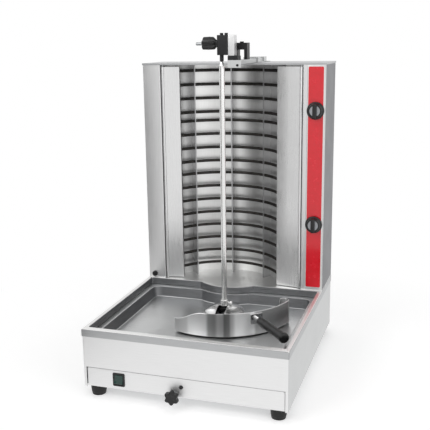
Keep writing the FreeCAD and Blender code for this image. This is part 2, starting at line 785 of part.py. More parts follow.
def heater_bank(bank):
    """One heater element: its runs joined by half-round bends, with both ends at the right."""
    reach = bank_ends()[0]
    heights = run_heights(bank)
    edges = []
    for k, z in enumerate(heights):
        edges += heater_run(z)
        if k + 1 < len(heights):
            side = -1 if k % 2 == 0 else 1
            x = cavity_x + side * (reach + rod_run_out)
            edges.append(Part.Arc(V(x, rod_line_y, z),
                                  V(x + side * rod_pitch / 2, rod_line_y, z - rod_pitch / 2),
                                  V(x, rod_line_y, z - rod_pitch)).toShape())
    x = cavity_x + reach + rod_run_out
    for z in (heights[0], heights[-1]):
        edges.append(Part.LineSegment(V(x, rod_line_y, z), V(x + 16, rod_line_y, z)).toShape())
    return tube(edges, rod_radius)


def terminal_beads():
    """Ceramic beads on the ends of the heater elements."""
    x = cavity_x + bank_ends()[0] + rod_run_out + 16
    beads = []
    for bank in range(len(bank_tops)):
        heights = run_heights(bank)
        for z in (heights[0], heights[-1]):
            beads.append(rod(7, (x, rod_line_y, z), (1, 0, 0), 12))
    return Part.makeCompound(beads)


def rod_comb(angle):
    """Upright rib between the reflector and the rods, with a hole for each rod."""
    reach = reflector_arc - rod_arc + rod_radius + 3
    rib = box(reflector_arc - reach, reflector_arc - rib_gap, -comb_sheet / 2, comb_sheet / 2,
              deck_top, top_under)
    rib.rotate(V(0, 0, 0), V(0, 0, 1), angle)
    rib.translate(V(cavity_x, cavity_y, 0))
    cutters = []
    for bank in range(len(bank_tops)):
        for z in run_heights(bank):
            ring = Part.Wire(Part.makeCircle(rod_radius + rib_gap, V(cavity_x + rod_arc, cavity_y, z),
                                             V(0, 1, 0)))
            cutters.append(Part.Face(ring).revolve(V(cavity_x, cavity_y, 0), V(0, 0, 1), 12))
    for cutter in cutters:
        cutter.rotate(V(cavity_x, cavity_y, 0), V(0, 0, 1), angle - 6)
    return rib.cut(cutters)


# ------------------------------------------------------------------ reflector wings
def wing(hinge, points):
    """A hinged wing: knuckle tube, folded sheet and a hem turned to the back."""
    z0, z1 = deck_top + wing_floor_gap, wing_top
    outline = [hinge] + points
    tip = points[-1]
    away = 1 if tip[0] > hinge[0] else -1
    sheet = bent_strip(outline if away > 0 else outline[::-1], housing_sheet, z0, z1)
    hem = box(*sorted((tip[0], tip[0] - away * housing_sheet)), tip[1], tip[1] + wing_hem, z0, z1)
    tube_out = rod(knuckle_radius, (*hinge, z0), (0, 0, 1), z1 - z0)
    bore = rod(pin_radius + running, (*hinge, z0), (0, 0, 1), z1 - z0)
    return joined([sheet, hem, tube_out]).cut(bore)


def wing_left():
    """Left reflector wing, one flat facet."""
    x, y = knuckle_left
    return wing(knuckle_left, [(x + wing_left_reach, y + wing_tip_depth)])


def wing_right():
    """Right reflector wing, two facets."""
    x, y = knuckle_right
    return wing(knuckle_right, [(x - wing_fold_reach, y + wing_fold_depth),
                                (x - wing_right_reach, y + wing_tip_depth)])


def wing_pins():
    """Top and bottom hinge pins of both wings, fixed to the lid and the deck."""
    pins = []
    high = wing_top - pin_grip
    for hinge in (knuckle_left, knuckle_right):
        pins.append(rod(pin_radius, (*hinge, deck_top), (0, 0, 1), pin_grip))
        pins.append(rod(pin_radius, (*hinge, high), (0, 0, 1), top_under - high))
    return Part.makeCompound(pins)


# ------------------------------------------------------------------ top head
def head_x(offset):
    """Places across the head, counted from the spit."""
    return block_left + offset


def top_arm():
    """Channel that slides on the lid and carries the head, with a lip at its front."""
    x0, x1 = arm_x - arm_width / 2, arm_x + arm_width / 2
    y0, y1 = spit_y - arm_front_reach, back_y - arm_back_gap
    outer = box(x0, x1, y0, y1, arm_bottom, arm_top)
    inner = box(x0 + 2, x1 - 2, y0 + 2, y1, arm_bottom, arm_top - 2)
    lip = box(x0, x1, y0, y0 + 2, arm_lip_bottom, arm_top)
    return joined([outer.cut(inner), lip])


def arm_guide(place):
    """Saddle on the lid that the arm slides through."""
    y = housing_front + place
    x0, x1 = arm_x - arm_width / 2 - sliding, arm_x + arm_width / 2 + sliding
    hoop = box(x0 - 3, x1 + 3, y, y + guide_length, housing_top, arm_top + sliding + 3)
    ears = box(x0 - 14, x1 + 14, y, y + guide_length, housing_top, housing_top + 2)
    tunnel = box(x0, x1, y, y + guide_length, housing_top, arm_top + sliding)
    return joined([hoop, ears]).cut(tunnel)


def arm_screws():
    """Screw heads on the front lip of the arm and on top of the bridge."""
    lip = rod(3, (arm_x + 8, spit_y - arm_front_reach, arm_lip_bottom + 6), (0, -1, 0), 2)
    cap = rod(5, (arm_x, bridge_y + 13, arm_top + bridge_height), (0, 0, 1), 3)
    return Part.makeCompound([lip, cap])


def head_bridge():
    """Dark bridge over the arm behind the head, open underneath."""
    x0, x1 = arm_x - arm_width / 2, arm_x + arm_width / 2
    outer = box(x0, x1, bridge_y, bridge_y + 26, arm_top, arm_top + bridge_height)
    window = box(x0 + 9, x1 - 8, bridge_y, bridge_y + 26, arm_top, arm_top + bridge_height - 17)
    return outer.cut(window)


def head_foot():
    """Dark block on the arm that carries the upright plate."""
    return box(head_x(block_width), head_x(block_width) + 26, spit_y - 14, spit_y + 14,
               arm_top, head_base)


def head_plate():
    """Upright steel plate beside the bearing block."""
    x0 = head_x(block_width) + sliding
    return box(x0, x0 + 16, spit_y - 13, spit_y + 13, head_base, block_bottom + 48)


def bearing_block():
    """Block that holds the top of the spit and slides up the plate to free it."""
    x0, x1 = head_x(0), head_x(block_width)
    block = box(x0, x1, spit_y - block_depth / 2, spit_y + block_depth / 2,
                block_bottom, block_bottom + block_height - 5)
    block = block.makeFillet(3, [e for e in block.Edges if abs(e.tangentAt(0).z) > 0.9])
    thread = rod(spindle_radius + running, (x0 - 1, spit_y, knob_axis_z), (1, 0, 0), block_width + 2)
    return block.cut(thread)


def bearing_tip():
    """Bush under the block that the spit's point turns in."""
    z0 = spit_tip - 3
    bush = rod(5, (spit_x, spit_y, z0), (0, 0, 1), block_bottom - z0)
    cup = Part.makeCone(5, 1.5, 8, V(spit_x, spit_y, z0 - 2.5))
    return bush.cut(cup)


def block_bolts():
    """Two hexagon bolts on top of the block."""
    bolts = []
    for x in (head_x(8), head_x(20)):
        ring = [(x + 4.5 * math.cos(math.radians(60 * k)), spit_y + 4.5 * math.sin(math.radians(60 * k)))
                for k in range(6)]
        bolts.append(prism(ring, block_bottom + block_height - 5, block_bottom + block_height))
    return Part.makeCompound(bolts)


def clamp_spindle():
    """Steel spindle through the block, with its free end showing past the knob."""
    x0 = head_x(0) - clamp_knob_length - 22
    return rod(spindle_radius, (x0, spit_y, knob_axis_z), (1, 0, 0), head_x(block_width) - x0)


def clamp_knob():
    """Black star knob on the spindle."""
    start = (head_x(0) - 5, spit_y, knob_axis_z)
    knob = lobed_knob(clamp_knob_radius, 5, clamp_knob_length, start, (-1, 0, 0))
    neck = rod(8, (head_x(0) - sliding, spit_y, knob_axis_z), (-1, 0, 0), 6)
    bore = rod(spindle_radius, (head_x(0) - 60, spit_y, knob_axis_z), (1, 0, 0), 60)
    return joined([knob, neck]).cut(bore)


# ------------------------------------------------------------------ scoop
def scoop_pan():
    """Crescent pan: floor, round outer wall that drops at one end, and a curled end."""
    z0 = pan_floor + seat
    a0, a1 = scoop_start - 90, scoop_end - 90
    centre = (spit_x, spit_y)
    floor = ring_sector(scoop_inner_arc, scoop_arc, z0, z0 + scoop_sheet, a0, a1, centre)
    wall = ring_sector(scoop_arc - scoop_sheet, scoop_arc, z0, z0 + scoop_height, a0, a1, centre)
    wall = wall.cut(slope_cutter(z0))
    end = math.radians(scoop_end - 90)
    mid_r = scoop_arc - scoop_curl
    cx, cy = spit_x + mid_r * math.cos(end), spit_y + mid_r * math.sin(end)
    curl = ring_sector(scoop_curl - scoop_sheet, scoop_curl, z0, z0 + scoop_height,
                       scoop_end - 90, scoop_end + 90, (cx, cy))
    disc = rod(scoop_curl, (cx, cy, z0), (0, 0, 1), scoop_sheet)
    return joined([floor, wall, curl, disc])


def slope_cutter(z0):
    """The space above the sloping edge at the low end of the scoop's wall."""
    def ray(angle, r):
        a = math.radians(angle - 90)
        return spit_x + r * math.cos(a), spit_y + r * math.sin(a)
    r = scoop_arc + 5
    xa, ya = ray(scoop_start - 4, r)
    xb, yb = ray(scoop_slope_end, r)
    run = math.hypot(xb - xa, yb - ya)
    z_low, z_high = z0 + scoop_low_height, z0 + scoop_height
    wedge = Part.Face(Part.makePolygon([V(0, 0, z_low), V(run, 0, z_high), V(run, 0, z_high + 50),
                                        V(0, 0, z_high + 50), V(0, 0, z_low)]))
    wedge = wedge.extrude(V(0, 80, 0))
    wedge.translate(V(0, -30, 0))
    wedge.rotate(V(0, 0, 0), V(0, 0, 1), math.degrees(math.atan2(yb - ya, xb - xa)))
    wedge.translate(V(xa, ya, 0))
    return wedge


def turned_to_handle(shape):
    """Turns a piece made along +X from the spit onto the handle's line."""
    shape.rotate(V(0, 0, 0), V(0, 0, 1), handle_angle - 90)
    shape.translate(V(spit_x, spit_y, 0))
    return shape


def handle_bracket():
    """Steel plate on the scoop's wall with a stem for the grip."""
    z = pan_floor + handle_height
    pad = ring_sector(scoop_arc, scoop_arc + 3, z - 13, z + 13, -5, 5, (0, 0))
    stem = rod(stem_radius, (scoop_arc + 1, 0, z), (1, 0, 0), grip_start + stem_depth - scoop_arc - 1)
    inside = rod(scoop_arc + running, (0, 0, 0), (0, 0, 1), deck_top + handle_height)
    return turned_to_handle(joined([pad, stem]).cut(inside))


def handle_grip():
    """Black grip that widens towards its end."""
    z = pan_floor + handle_height
    body = Part.makeCone(grip_radius - 2.5, grip_radius - 1, grip_end - grip_cap - grip_start,
                         V(grip_start, 0, z), V(1, 0, 0))
    return turned_to_handle(body.cut(rod(stem_radius + running, (grip_start, 0, z), (1, 0, 0), stem_depth)))


def handle_cap():
    """Rounded end cap of the grip."""
    z = pan_floor + handle_height
    x = grip_end - grip_cap
    cap = rod(grip_radius, (x, 0, z), (1, 0, 0), grip_cap)
    cap = cap.makeFillet(3, [e for e in cap.Edges if e.BoundBox.XMin > x + grip_cap / 2])
    return turned_to_handle(cap)


# ------------------------------------------------------------------ inside the column
def terminal_block():
    """Ceramic terminal strip on the column's inner wall."""
    x0 = column_left + housing_sheet
    z1 = housing_top - 210
    return box(x0, x0 + 14, strip_front + 20, strip_front + 44, z1 - 80, z1)


PARTS = {
    "base_shell": base_shell,
    "base_bottom": base_bottom,
    "base_rear": base_rear,
    "control_panel": control_panel,
    "deck_frame": deck_frame,
    "catch_pan": catch_pan,
    "pan_rails": pan_rails,
    "feet": feet,
    "body_screws": body_screws,
    "cable_gland": cable_gland,
    "carriage_rails": carriage_rails,
    "drive_carriage": drive_carriage,
    "gearbox": gearbox,
    "drive_motor": drive_motor,
    "drive_shaft": drive_shaft,
    "drive_socket": drive_socket,
    "hub_dome": hub_dome,
    "spit_rod": spit_rod,
    "spit_collar": spit_collar,
    "collar_screw": collar_screw,
    "pull_rod": pull_rod,
    "pull_rod_bush": pull_rod_bush,
    "lock_knob": lock_knob,
    "switch_bezel": switch_bezel,
    "switch_rocker": switch_rocker,
    "housing_side_left": housing_side_left,
    "housing_side_right": housing_side_right,
    "control_column": control_column,
    "red_facia": red_facia,
    "regulators": lambda: Part.makeCompound([regulator(z) for z in control_knob_heights]),
    "control_knob_upper": lambda: control_knob(control_knob_heights[0]),
    "control_knob_lower": lambda: control_knob(control_knob_heights[1]),
    "housing_back": housing_back,
    "housing_lid": housing_lid,
    "reflector": reflector,
    "insulation_blanket": insulation_blanket,
    "heater_bank_1": lambda: heater_bank(0),
    "heater_bank_2": lambda: heater_bank(1),
    "heater_bank_3": lambda: heater_bank(2),
    "heater_bank_4": lambda: heater_bank(3),
    "terminals": lambda: Part.makeCompound([terminal_beads(), terminal_block()]),
    "rod_combs": lambda: Part.makeCompound([rod_comb(angle) for angle in comb_angles]),
    "wing_left": wing_left,
    "wing_right": wing_right,
    "wing_pins": wing_pins,
    "top_arm": top_arm,
    "arm_guides": lambda: Part.makeCompound([arm_guide(place) for place in guide_places]),
    "head_bridge": head_bridge,
    "arm_screws": arm_screws,
    "head_foot": head_foot,
    "head_plate": head_plate,
    "bearing_block": bearing_block,
    "bearing_tip": bearing_tip,
    "block_bolts": block_bolts,
    "clamp_spindle": clamp_spindle,
    "clamp_knob": clamp_knob,
    "scoop_pan": scoop_pan,
    "scoop_bracket": handle_bracket,
    "scoop_grip": handle_grip,
    "scoop_cap": handle_cap,
}


if __name__ == "__main__":
    os.makedirs("parts", exist_ok=True)
    for node, make in PARTS.items():
        make().exportStep(f"parts/{node}.step")
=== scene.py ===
import json
import logging
import math
from dataclasses import dataclass, field
from enum import Enum
from typing import Sequence

import bmesh
import bpy
import numpy as np
from mathutils import Matrix, Vector


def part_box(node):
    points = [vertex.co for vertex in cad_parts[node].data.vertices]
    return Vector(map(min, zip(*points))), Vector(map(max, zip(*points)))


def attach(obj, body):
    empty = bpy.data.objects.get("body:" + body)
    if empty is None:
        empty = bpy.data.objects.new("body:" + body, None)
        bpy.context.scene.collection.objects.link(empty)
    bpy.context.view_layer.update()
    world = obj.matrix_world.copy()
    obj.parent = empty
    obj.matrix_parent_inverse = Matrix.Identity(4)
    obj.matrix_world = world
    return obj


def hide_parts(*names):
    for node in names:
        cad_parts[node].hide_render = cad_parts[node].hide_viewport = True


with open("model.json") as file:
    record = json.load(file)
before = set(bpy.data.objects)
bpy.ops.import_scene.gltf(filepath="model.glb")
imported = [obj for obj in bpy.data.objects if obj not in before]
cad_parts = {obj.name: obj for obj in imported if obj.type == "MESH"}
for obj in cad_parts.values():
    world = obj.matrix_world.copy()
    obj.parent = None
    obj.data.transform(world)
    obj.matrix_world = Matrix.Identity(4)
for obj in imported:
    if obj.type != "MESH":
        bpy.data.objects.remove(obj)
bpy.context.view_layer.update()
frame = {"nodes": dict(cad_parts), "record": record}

# The looks of a countertop vertical broiler: stainless base with a recessed pan, a heater
# housing with a polished reflector and bare rods, an upright spit and a loose scoop.
# Metres, X to the right, Y to the back, Z up.

MM = 0.001
LOG = logging.getLogger("vertical_broiler")
RECORD = frame["record"]
BODY_OF = {node: body for body, nodes in RECORD["behaviour"]["bodies"].items() for node in nodes}


# ---------------------------------------------------------------- colour and node helpers
def linear(code: str) -> tuple[float, float, float, float]:
    """Turns an sRGB hex colour into linear light.

    Args:
        code: six hex digits with a leading sign.

    Returns:
        Red, green, blue and an alpha of 1.
    """
    parts = [int(code[k:k + 2], 16) / 255 for k in (1, 3, 5)]
    light = [c / 12.92 if c <= 0.04045 else ((c + 0.055) / 1.055) ** 2.4 for c in parts]
    return (*light, 1.0)


def add(tree: bpy.types.NodeTree, kind: str, inputs: dict | None = None, **settings: object) -> bpy.types.Node:
    """Adds one shader node with its settings, and fills or links its sockets.

    Args:
        tree: the material's or world's node tree.
        kind: the node's Blender type name.
        inputs: socket name or number to a value, or to the output socket to link.
        **settings: the node's own properties.

    Returns:
        The new node.
    """
    node = tree.nodes.new(kind)
    for name, value in settings.items():
        setattr(node, name, value)
    for name, value in (inputs or {}).items():
        if isinstance(value, bpy.types.NodeSocket):
            tree.links.new(value, node.inputs[name])
        else:
            node.inputs[name].default_value = value
    return node


def ramp(tree: bpy.types.NodeTree, source: bpy.types.NodeSocket, low: float, high: float,
         to_low: float, to_high: float) -> bpy.types.NodeSocket:
    """Maps a value linearly from one range to another, held at both ends.

    Args:
        tree: the node tree.
        source: the value to map.
        low: input that gives to_low.
        high: input that gives to_high.
        to_low: output at low.
        to_high: output at high.

    Returns:
        The mapped value's socket.
    """
    node = add(tree, "ShaderNodeMapRange",
               {"Value": source, "From Min": low, "From Max": high, "To Min": to_low, "To Max": to_high})
    return node.outputs["Result"]


def tinted(tree: bpy.types.NodeTree, factor: bpy.types.NodeSocket, dark: str, light: str) -> bpy.types.NodeSocket:
    """Blends two sRGB colours by a factor.

    Args:
        tree: the node tree.
        factor: 0 gives dark and 1 gives light.
        dark: first hex colour.
        light: second hex colour.

    Returns:
        The colour socket.
    """
    mix = add(tree, "ShaderNodeMix", {"Factor": factor, 6: linear(dark), 7: linear(light)}, data_type="RGBA")
    return mix.outputs[2]


def new_material(name: str) -> tuple[bpy.types.Material, bpy.types.NodeTree, bpy.types.Node]:
    """Starts a material with one Principled shader wired to its output.

    Args:
        name: the real material's name.

    Returns:
        The material, its tree and the shader node.
    """
    material = bpy.data.materials.new(name)
    material.use_nodes = True
    tree = material.node_tree
    tree.nodes.clear()
    shader = add(tree, "ShaderNodeBsdfPrincipled")
    add(tree, "ShaderNodeOutputMaterial", {"Surface": shader.outputs["BSDF"]})
    return material, tree, shader


class Grain(Enum):
    """Which way a brushed grain runs, as the share of each axis that it crosses."""

    ALONG_X = (0.012, 1.0, 1.0)
    ALONG_Y = (1.0, 0.012, 1.0)
    ALONG_Z = (1.0, 1.0, 0.012)
    LEVEL = (0.02, 0.02, 1.0)
    EVEN = (1.0, 1.0, 1.0)


# ---------------------------------------------------------------- finishes
@dataclass(frozen=True)
class StainlessSheet:
    """Rolled stainless steel sheet, brushed or polished.

    Light: a metal's mirror image, drawn out across the grain, with faint long scratches and
    the slow waves of thin sheet. The grit lines are drawn about four times as coarse as the
    real 0.1 mm, so that they show.
    """

    name: str
    pale: str = "#D2D3D3"
    dull: str = "#C4C5C5"
    grain: Grain = Grain.ALONG_X
    grain_mm: float = 0.5
    rough_low: float = 0.34
    rough_high: float = 0.42
    scratch_mm: float = 0.003
    wave_mm: float = 160.0
    wave_height_mm: float = 0.06

    def build(self) -> bpy.types.Material:
        """Builds the sheet's material."""
        material, tree, shader = new_material(self.name)
        place = add(tree, "ShaderNodeTexCoord").outputs["Object"]
        across = 1.0 / (self.grain_mm * MM)
        brushed = add(tree, "ShaderNodeMapping",
                      {"Vector": place, "Scale": tuple(across * share for share in self.grain.value)})
        lines = add(tree, "ShaderNodeTexNoise", {"Vector": brushed.outputs["Vector"], "Scale": 1.0, "Detail": 2.0})
        waves = add(tree, "ShaderNodeTexNoise",
                    {"Vector": place, "Scale": 1.0 / (self.wave_mm * MM), "Detail": 1.0})
        smudge = add(tree, "ShaderNodeTexNoise", {"Vector": place, "Scale": 14.0, "Detail": 3.0})
        rough = ramp(tree, lines.outputs["Fac"], 0.3, 0.7, self.rough_low, self.rough_high)
        worn = add(tree, "ShaderNodeMath",
                   {0: rough, 1: ramp(tree, smudge.outputs["Fac"], 0.35, 0.75, -0.02, 0.04)}, operation="ADD")
        tree.links.new(worn.outputs["Value"], shader.inputs["Roughness"])
        colour = tinted(tree, ramp(tree, lines.outputs["Fac"], 0.3, 0.7, 0.0, 1.0), self.dull, self.pale)
        tree.links.new(colour, shader.inputs["Base Color"])
        slow = add(tree, "ShaderNodeBump", {"Height": waves.outputs["Fac"], "Strength": 1.0,
                                            "Distance": self.wave_height_mm * MM})
        fine = add(tree, "ShaderNodeBump", {"Height": lines.outputs["Fac"], "Strength": 1.0,
                                            "Distance": self.scratch_mm * MM,
                                            "Normal": slow.outputs["Normal"]})
        tree.links.new(fine.outputs["Normal"], shader.inputs["Normal"])
        shader.inputs["Metallic"].default_value = 1.0
        return material


@dataclass(frozen=True)
class PaintedReflectionSheet:
    """Polished sheet rolled round the spit, with upright light and dark reflection bands painted into its colour.

    Light: a soft mirror; its colour holds a painted reflection whose tone changes with the bearing about the spit, and
    not with height. The bands are (bearing in degrees from +X, tone).
    """

    name: str
    bands: tuple = ((-115, 0.75), (-104, 0.85), (-101, 1.0), (-88, 1.0), (-85, 0.42), (-81, 0.35), (-78, 0.6),
                    (-75, 0.52), (-73, 0.2), (-70, 0.25), (-68, 0.6), (-64, 1.0), (-51, 1.0), (-48, 0.55),
                    (-12, 0.6))
    dark: str = "#2C2C2D"
    pale: str = "#FAFAFA"
    roughness: float = 0.4

    def build(self) -> bpy.types.Material:
        """Builds the sheet's material with its painted reflection bands: bearing = atan2(y - spit y, x - spit x)."""
        material, tree, shader = new_material(self.name)
        spit = middle("spit_rod")
        place = add(tree, "ShaderNodeTexCoord").outputs["Object"]
        off = add(tree, "ShaderNodeVectorMath", {0: place, 1: (spit.x, spit.y, 0.0)}, operation="SUBTRACT")
        axes = add(tree, "ShaderNodeSeparateXYZ", {0: off.outputs["Vector"]})
        bearing = add(tree, "ShaderNodeMath", {0: axes.outputs["Y"], 1: axes.outputs["X"]}, operation="ARCTAN2")
        first, last = self.bands[0][0], self.bands[-1][0]
        along = ramp(tree, bearing.outputs["Value"], math.radians(first), math.radians(last), 0.0, 1.0)
        # Painted reflection: the tone by bearing stands in for the light and dark that the polished wall mirrors.
        tones = add(tree, "ShaderNodeValToRGB", {"Fac": along})
        tones.color_ramp.interpolation = "EASE"
        marks = tones.color_ramp.elements
        for degrees, tone in self.bands[1:-1]:
            marks.new((degrees - first) / (last - first)).color = (tone, tone, tone, 1)
        marks[0].color = (self.bands[0][1],) * 3 + (1,)
        marks[len(marks) - 1].color = (self.bands[-1][1],) * 3 + (1,)
        tree.links.new(tinted(tree, tones.outputs["Color"], self.dark, self.pale), shader.inputs["Base Color"])
        shader.inputs["Metallic"].default_value = 1.0
        shader.inputs["Roughness"].default_value = self.roughness
        return material


@dataclass(frozen=True)
class PlainMetal:
    """Solid or coated metal without a grain: zinc plate, die-cast aluminium, blackened steel.

    Light: a soft wide highlight over a mottled tone.
    """

    name: str
    dark: str
    light: str
    roughness: float
    metallic: float = 1.0
    mottle_mm: float = 6.0
    pit_mm: float = 0.02

    def build(self) -> bpy.types.Material:
        """Builds the metal's material."""
        material, tree, shader = new_material(self.name)
        place = add(tree, "ShaderNodeTexCoord").outputs["Object"]
        mottle = add(tree, "ShaderNodeTexNoise",
                     {"Vector": place, "Scale": 1.0 / (self.mottle_mm * MM), "Detail": 4.0, "Roughness": 0.6})
        pits = add(tree, "ShaderNodeTexNoise", {"Vector": place, "Scale": 1400.0, "Detail": 1.0})
        spread = ramp(tree, mottle.outputs["Fac"], 0.3, 0.7, 0.0, 1.0)
        tree.links.new(tinted(tree, spread, self.dark, self.light), shader.inputs["Base Color"])
        rough = ramp(tree, mottle.outputs["Fac"], 0.3, 0.7, self.roughness - 0.06, self.roughness + 0.06)
        tree.links.new(rough, shader.inputs["Roughness"])
        bump = add(tree, "ShaderNodeBump", {"Height": pits.outputs["Fac"], "Strength": 1.0,
                                            "Distance": self.pit_mm * MM})
        tree.links.new(bump.outputs["Normal"], shader.inputs["Normal"])
        shader.inputs["Metallic"].default_value = self.metallic
        return material


@dataclass(frozen=True)
class Moulded:
    """Moulded plastic, rubber or fired ceramic with a fine spark-eroded texture.

    Light: an even colour, a dull sheen and a slightly broken highlight.
    """

    name: str
    dark: str
    light: str
    roughness: float
    ior: float = 1.5
    grain_mm: float = 0.35
    grain_height_mm: float = 0.012
    coat: float = 0.0

    def build(self) -> bpy.types.Material:
        """Builds the moulding's material."""
        material, tree, shader = new_material(self.name)
        place = add(tree, "ShaderNodeTexCoord").outputs["Object"]
        grain = add(tree, "ShaderNodeTexNoise",
                    {"Vector": place, "Scale": 1.0 / (self.grain_mm * MM), "Detail": 2.0})
        tone = add(tree, "ShaderNodeTexNoise", {"Vector": place, "Scale": 60.0, "Detail": 3.0})
        spread = ramp(tree, tone.outputs["Fac"], 0.3, 0.7, 0.0, 1.0)
        tree.links.new(tinted(tree, spread, self.dark, self.light), shader.inputs["Base Color"])
        rough = ramp(tree, tone.outputs["Fac"], 0.3, 0.7, self.roughness - 0.04, self.roughness + 0.05)
        tree.links.new(rough, shader.inputs["Roughness"])
        bump = add(tree, "ShaderNodeBump", {"Height": grain.outputs["Fac"], "Strength": 1.0,
                                            "Distance": self.grain_height_mm * MM})
        tree.links.new(bump.outputs["Normal"], shader.inputs["Normal"])
        shader.inputs["IOR"].default_value = self.ior
        shader.inputs["Coat Weight"].default_value = self.coat
        shader.inputs["Coat Roughness"].default_value = 0.08
        return material


FINISHES = {
    "front_sheet": StainlessSheet("satin stainless, brushed along the front", "#EDEDED", "#E6E6E6",
                                  rough_low=0.44, rough_high=0.52),
    "side_sheet": StainlessSheet("satin stainless, brushed front to back", "#D0D1D1", "#C6C7C7",
                                 Grain.ALONG_Y),
    "deck_sheet": StainlessSheet("satin deck stainless", "#EDEDEC", "#E3E3E2", rough_low=0.40, rough_high=0.48),
    # pan_wall: a darker copy of the pan stainless for upright faces of the deck and pan: painted shade.
    "pan_wall": StainlessSheet("pan wall stainless, darkened for painted shade", "#8C8D8F", "#7D7E80", Grain.LEVEL, rough_low=0.34,
                               rough_high=0.42),
    # skirt_sheet: greyed stainless for the skirt's outer fold, painted shade; the lid reuses it.
    "skirt_sheet": StainlessSheet("satin stainless, greyed for painted shade on the fold", "#BDBEBF", "#AFB0B1"),
    "tall_sheet": StainlessSheet("satin stainless, brushed upright", "#E0E0E0", "#D6D6D6", Grain.ALONG_Z),
    # Darker copy of the upright side stainless for the right housing wall: painted shade.
    "shaded_side_sheet": StainlessSheet("side stainless, darkened for painted shade", "#707175", "#646569", Grain.ALONG_Z),
    "wing_sheet": StainlessSheet("wing stainless, brushed upright", "#E4E4E4", "#D8D8D8", Grain.ALONG_Z,
                                 rough_low=0.26, rough_high=0.34),
    "reflector_sheet": StainlessSheet("bright annealed reflector", "#E2E2E1", "#D8D8D7", Grain.ALONG_Z,
                                      rough_low=0.31, rough_high=0.36, scratch_mm=0.0006,
                                      wave_height_mm=0.12),
    "pan_sheet": StainlessSheet("polished pan stainless", "#C9CACA", "#BEBFBF", rough_low=0.28,
                                rough_high=0.36, wave_height_mm=0.05),
    "comb_steel": StainlessSheet("rod support steel", "#B4B4B5", "#A5A5A6", Grain.ALONG_Z, rough_low=0.3,
                                 rough_high=0.4),
    "scoop_sheet": StainlessSheet("polished scoop stainless", "#E2E2E2", "#D8D8D8", Grain.LEVEL, grain_mm=1.0,
                                  rough_low=0.16, rough_high=0.22, scratch_mm=0.004, wave_mm=90.0),
    # Scoop wall: polished sheet whose colour holds painted reflection bands.
    "scoop_painted_reflection": PaintedReflectionSheet("polished scoop wall, painted reflection bands"),
    "spit_steel": StainlessSheet("ground spit steel", "#EEEEED", "#E4E4E3", Grain.ALONG_Z, grain_mm=0.4,
                                 rough_low=0.22, rough_high=0.28, scratch_mm=0.0005),
    "zinc": PlainMetal("zinc plated steel", "#9A9C9E", "#B9BBBD", 0.38),
    "cast_aluminium": PlainMetal("die cast aluminium", "#96989B", "#B0B2B4", 0.5, pit_mm=0.05),
    # Grey metal disc on the black knob face standing in for its highlights: painted highlight.
    "knob_painted_highlight": PlainMetal("grey face disc, painted highlight", "#8D8F92", "#A7A9AC", 0.36, mottle_mm=2.0, pit_mm=0.01),
    "black_steel": PlainMetal("blackened steel", "#161617", "#232325", 0.42, metallic=0.3),
    "sheath": PlainMetal("heat-blued element sheath", "#1D1B1A", "#37332F", 0.42, metallic=0.5, mottle_mm=14.0),
    "red_enamel": Moulded("gloss red powder coat", "#E2091F", "#EC1229", 0.24, grain_mm=1.6,
                          grain_height_mm=0.01, coat=0.5),
    "black_plastic": Moulded("phenolic moulding, black", "#060607", "#0F0F10", 0.36),
    "rubber": Moulded("nitrile rubber, black", "#060606", "#101010", 0.6, grain_height_mm=0.02),
    "green_lens": Moulded("tinted lens acrylic, green", "#032B25", "#06463A", 0.16, grain_height_mm=0.002,
                          coat=0.4),
    "ceramic": Moulded("steatite ceramic", "#DCD6C6", "#EAE5D8", 0.55),
    "wool": Moulded("mineral wool", "#A89E6E", "#CFC79C", 0.95, grain_mm=1.2, grain_height_mm=0.9),
}


class Workshop:
    """Keeps the finishes already made, and gives each piece its finish, body and slot."""

    def __init__(self) -> None:
        """Starts with no finish made."""
        self.made: dict[str, bpy.types.Material] = {}

    def finish(self, key: str) -> bpy.types.Material:
        """Returns a finish by name, built the first time it is asked for."""
        if key not in self.made:
            self.made[key] = FINISHES[key].build()
        return self.made[key]

    def dress(self, piece: bpy.types.Object, *keys: str) -> None:
        """Puts finishes into a piece's material slots, in order."""
        if piece.data.materials:
            piece.data.materials.clear()
        for key in keys:
            piece.data.materials.append(self.finish(key))

    def fit(self, piece: bpy.types.Object, keys: Sequence[str] | str, *nodes: str) -> bpy.types.Object:
        """Dresses a new piece and lets it stand for CAD nodes.

        Args:
            piece: the new piece, in place.
            keys: its finish or finishes.
            *nodes: the nodes that it stands for, all on one body.

        Returns:
            The piece.
        """
        self.dress(piece, *([keys] if isinstance(keys, str) else keys))
        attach(piece, BODY_OF[nodes[0]])
        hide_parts(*nodes)
        LOG.info("%s on %s for %s", piece.name, BODY_OF[nodes[0]], ", ".join(nodes))
        return piece

    def keep(self, node: str, key: str) -> None:
        """Keeps a CAD node's shape and gives it a finish."""
        self.dress(frame["nodes"][node], key)
        LOG.info("%s kept on %s", node, BODY_OF[node])


# ---------------------------------------------------------------- shapes
def make_mesh(name: str, points: np.ndarray, faces: Sequence[Sequence[int]], sharp: float = 32.0,
              closed: bool = True) -> bpy.types.Object:
    """Puts points and faces into a new object, merges doubles and shades it smooth by angle.

    Args:
        name: the piece's name.
        points: an array of shape (n, 3).
        faces: corner numbers of each face.
        sharp: edges that turn by more than this many degrees stay crisp.
        closed: whether the faces close a solid, whose normals then are made to face out.

    Returns:
        The object, at the origin.
    """
    mesh = bpy.data.meshes.new(name)
    mesh.from_pydata(np.asarray(points, float).tolist(), [], [list(map(int, f)) for f in faces])
    work = bmesh.new()
    work.from_mesh(mesh)
    bmesh.ops.remove_doubles(work, verts=work.verts, dist=1e-6)
    bmesh.ops.dissolve_degenerate(work, edges=work.edges, dist=1e-7)
    if closed:
        bmesh.ops.recalc_face_normals(work, faces=work.faces)
    work.to_mesh(mesh)
    work.free()
    mesh.shade_smooth()
    mesh.set_sharp_from_angle(angle=math.radians(sharp))
    piece = bpy.data.objects.new(name, mesh)
    bpy.context.scene.collection.objects.link(piece)
    return piece


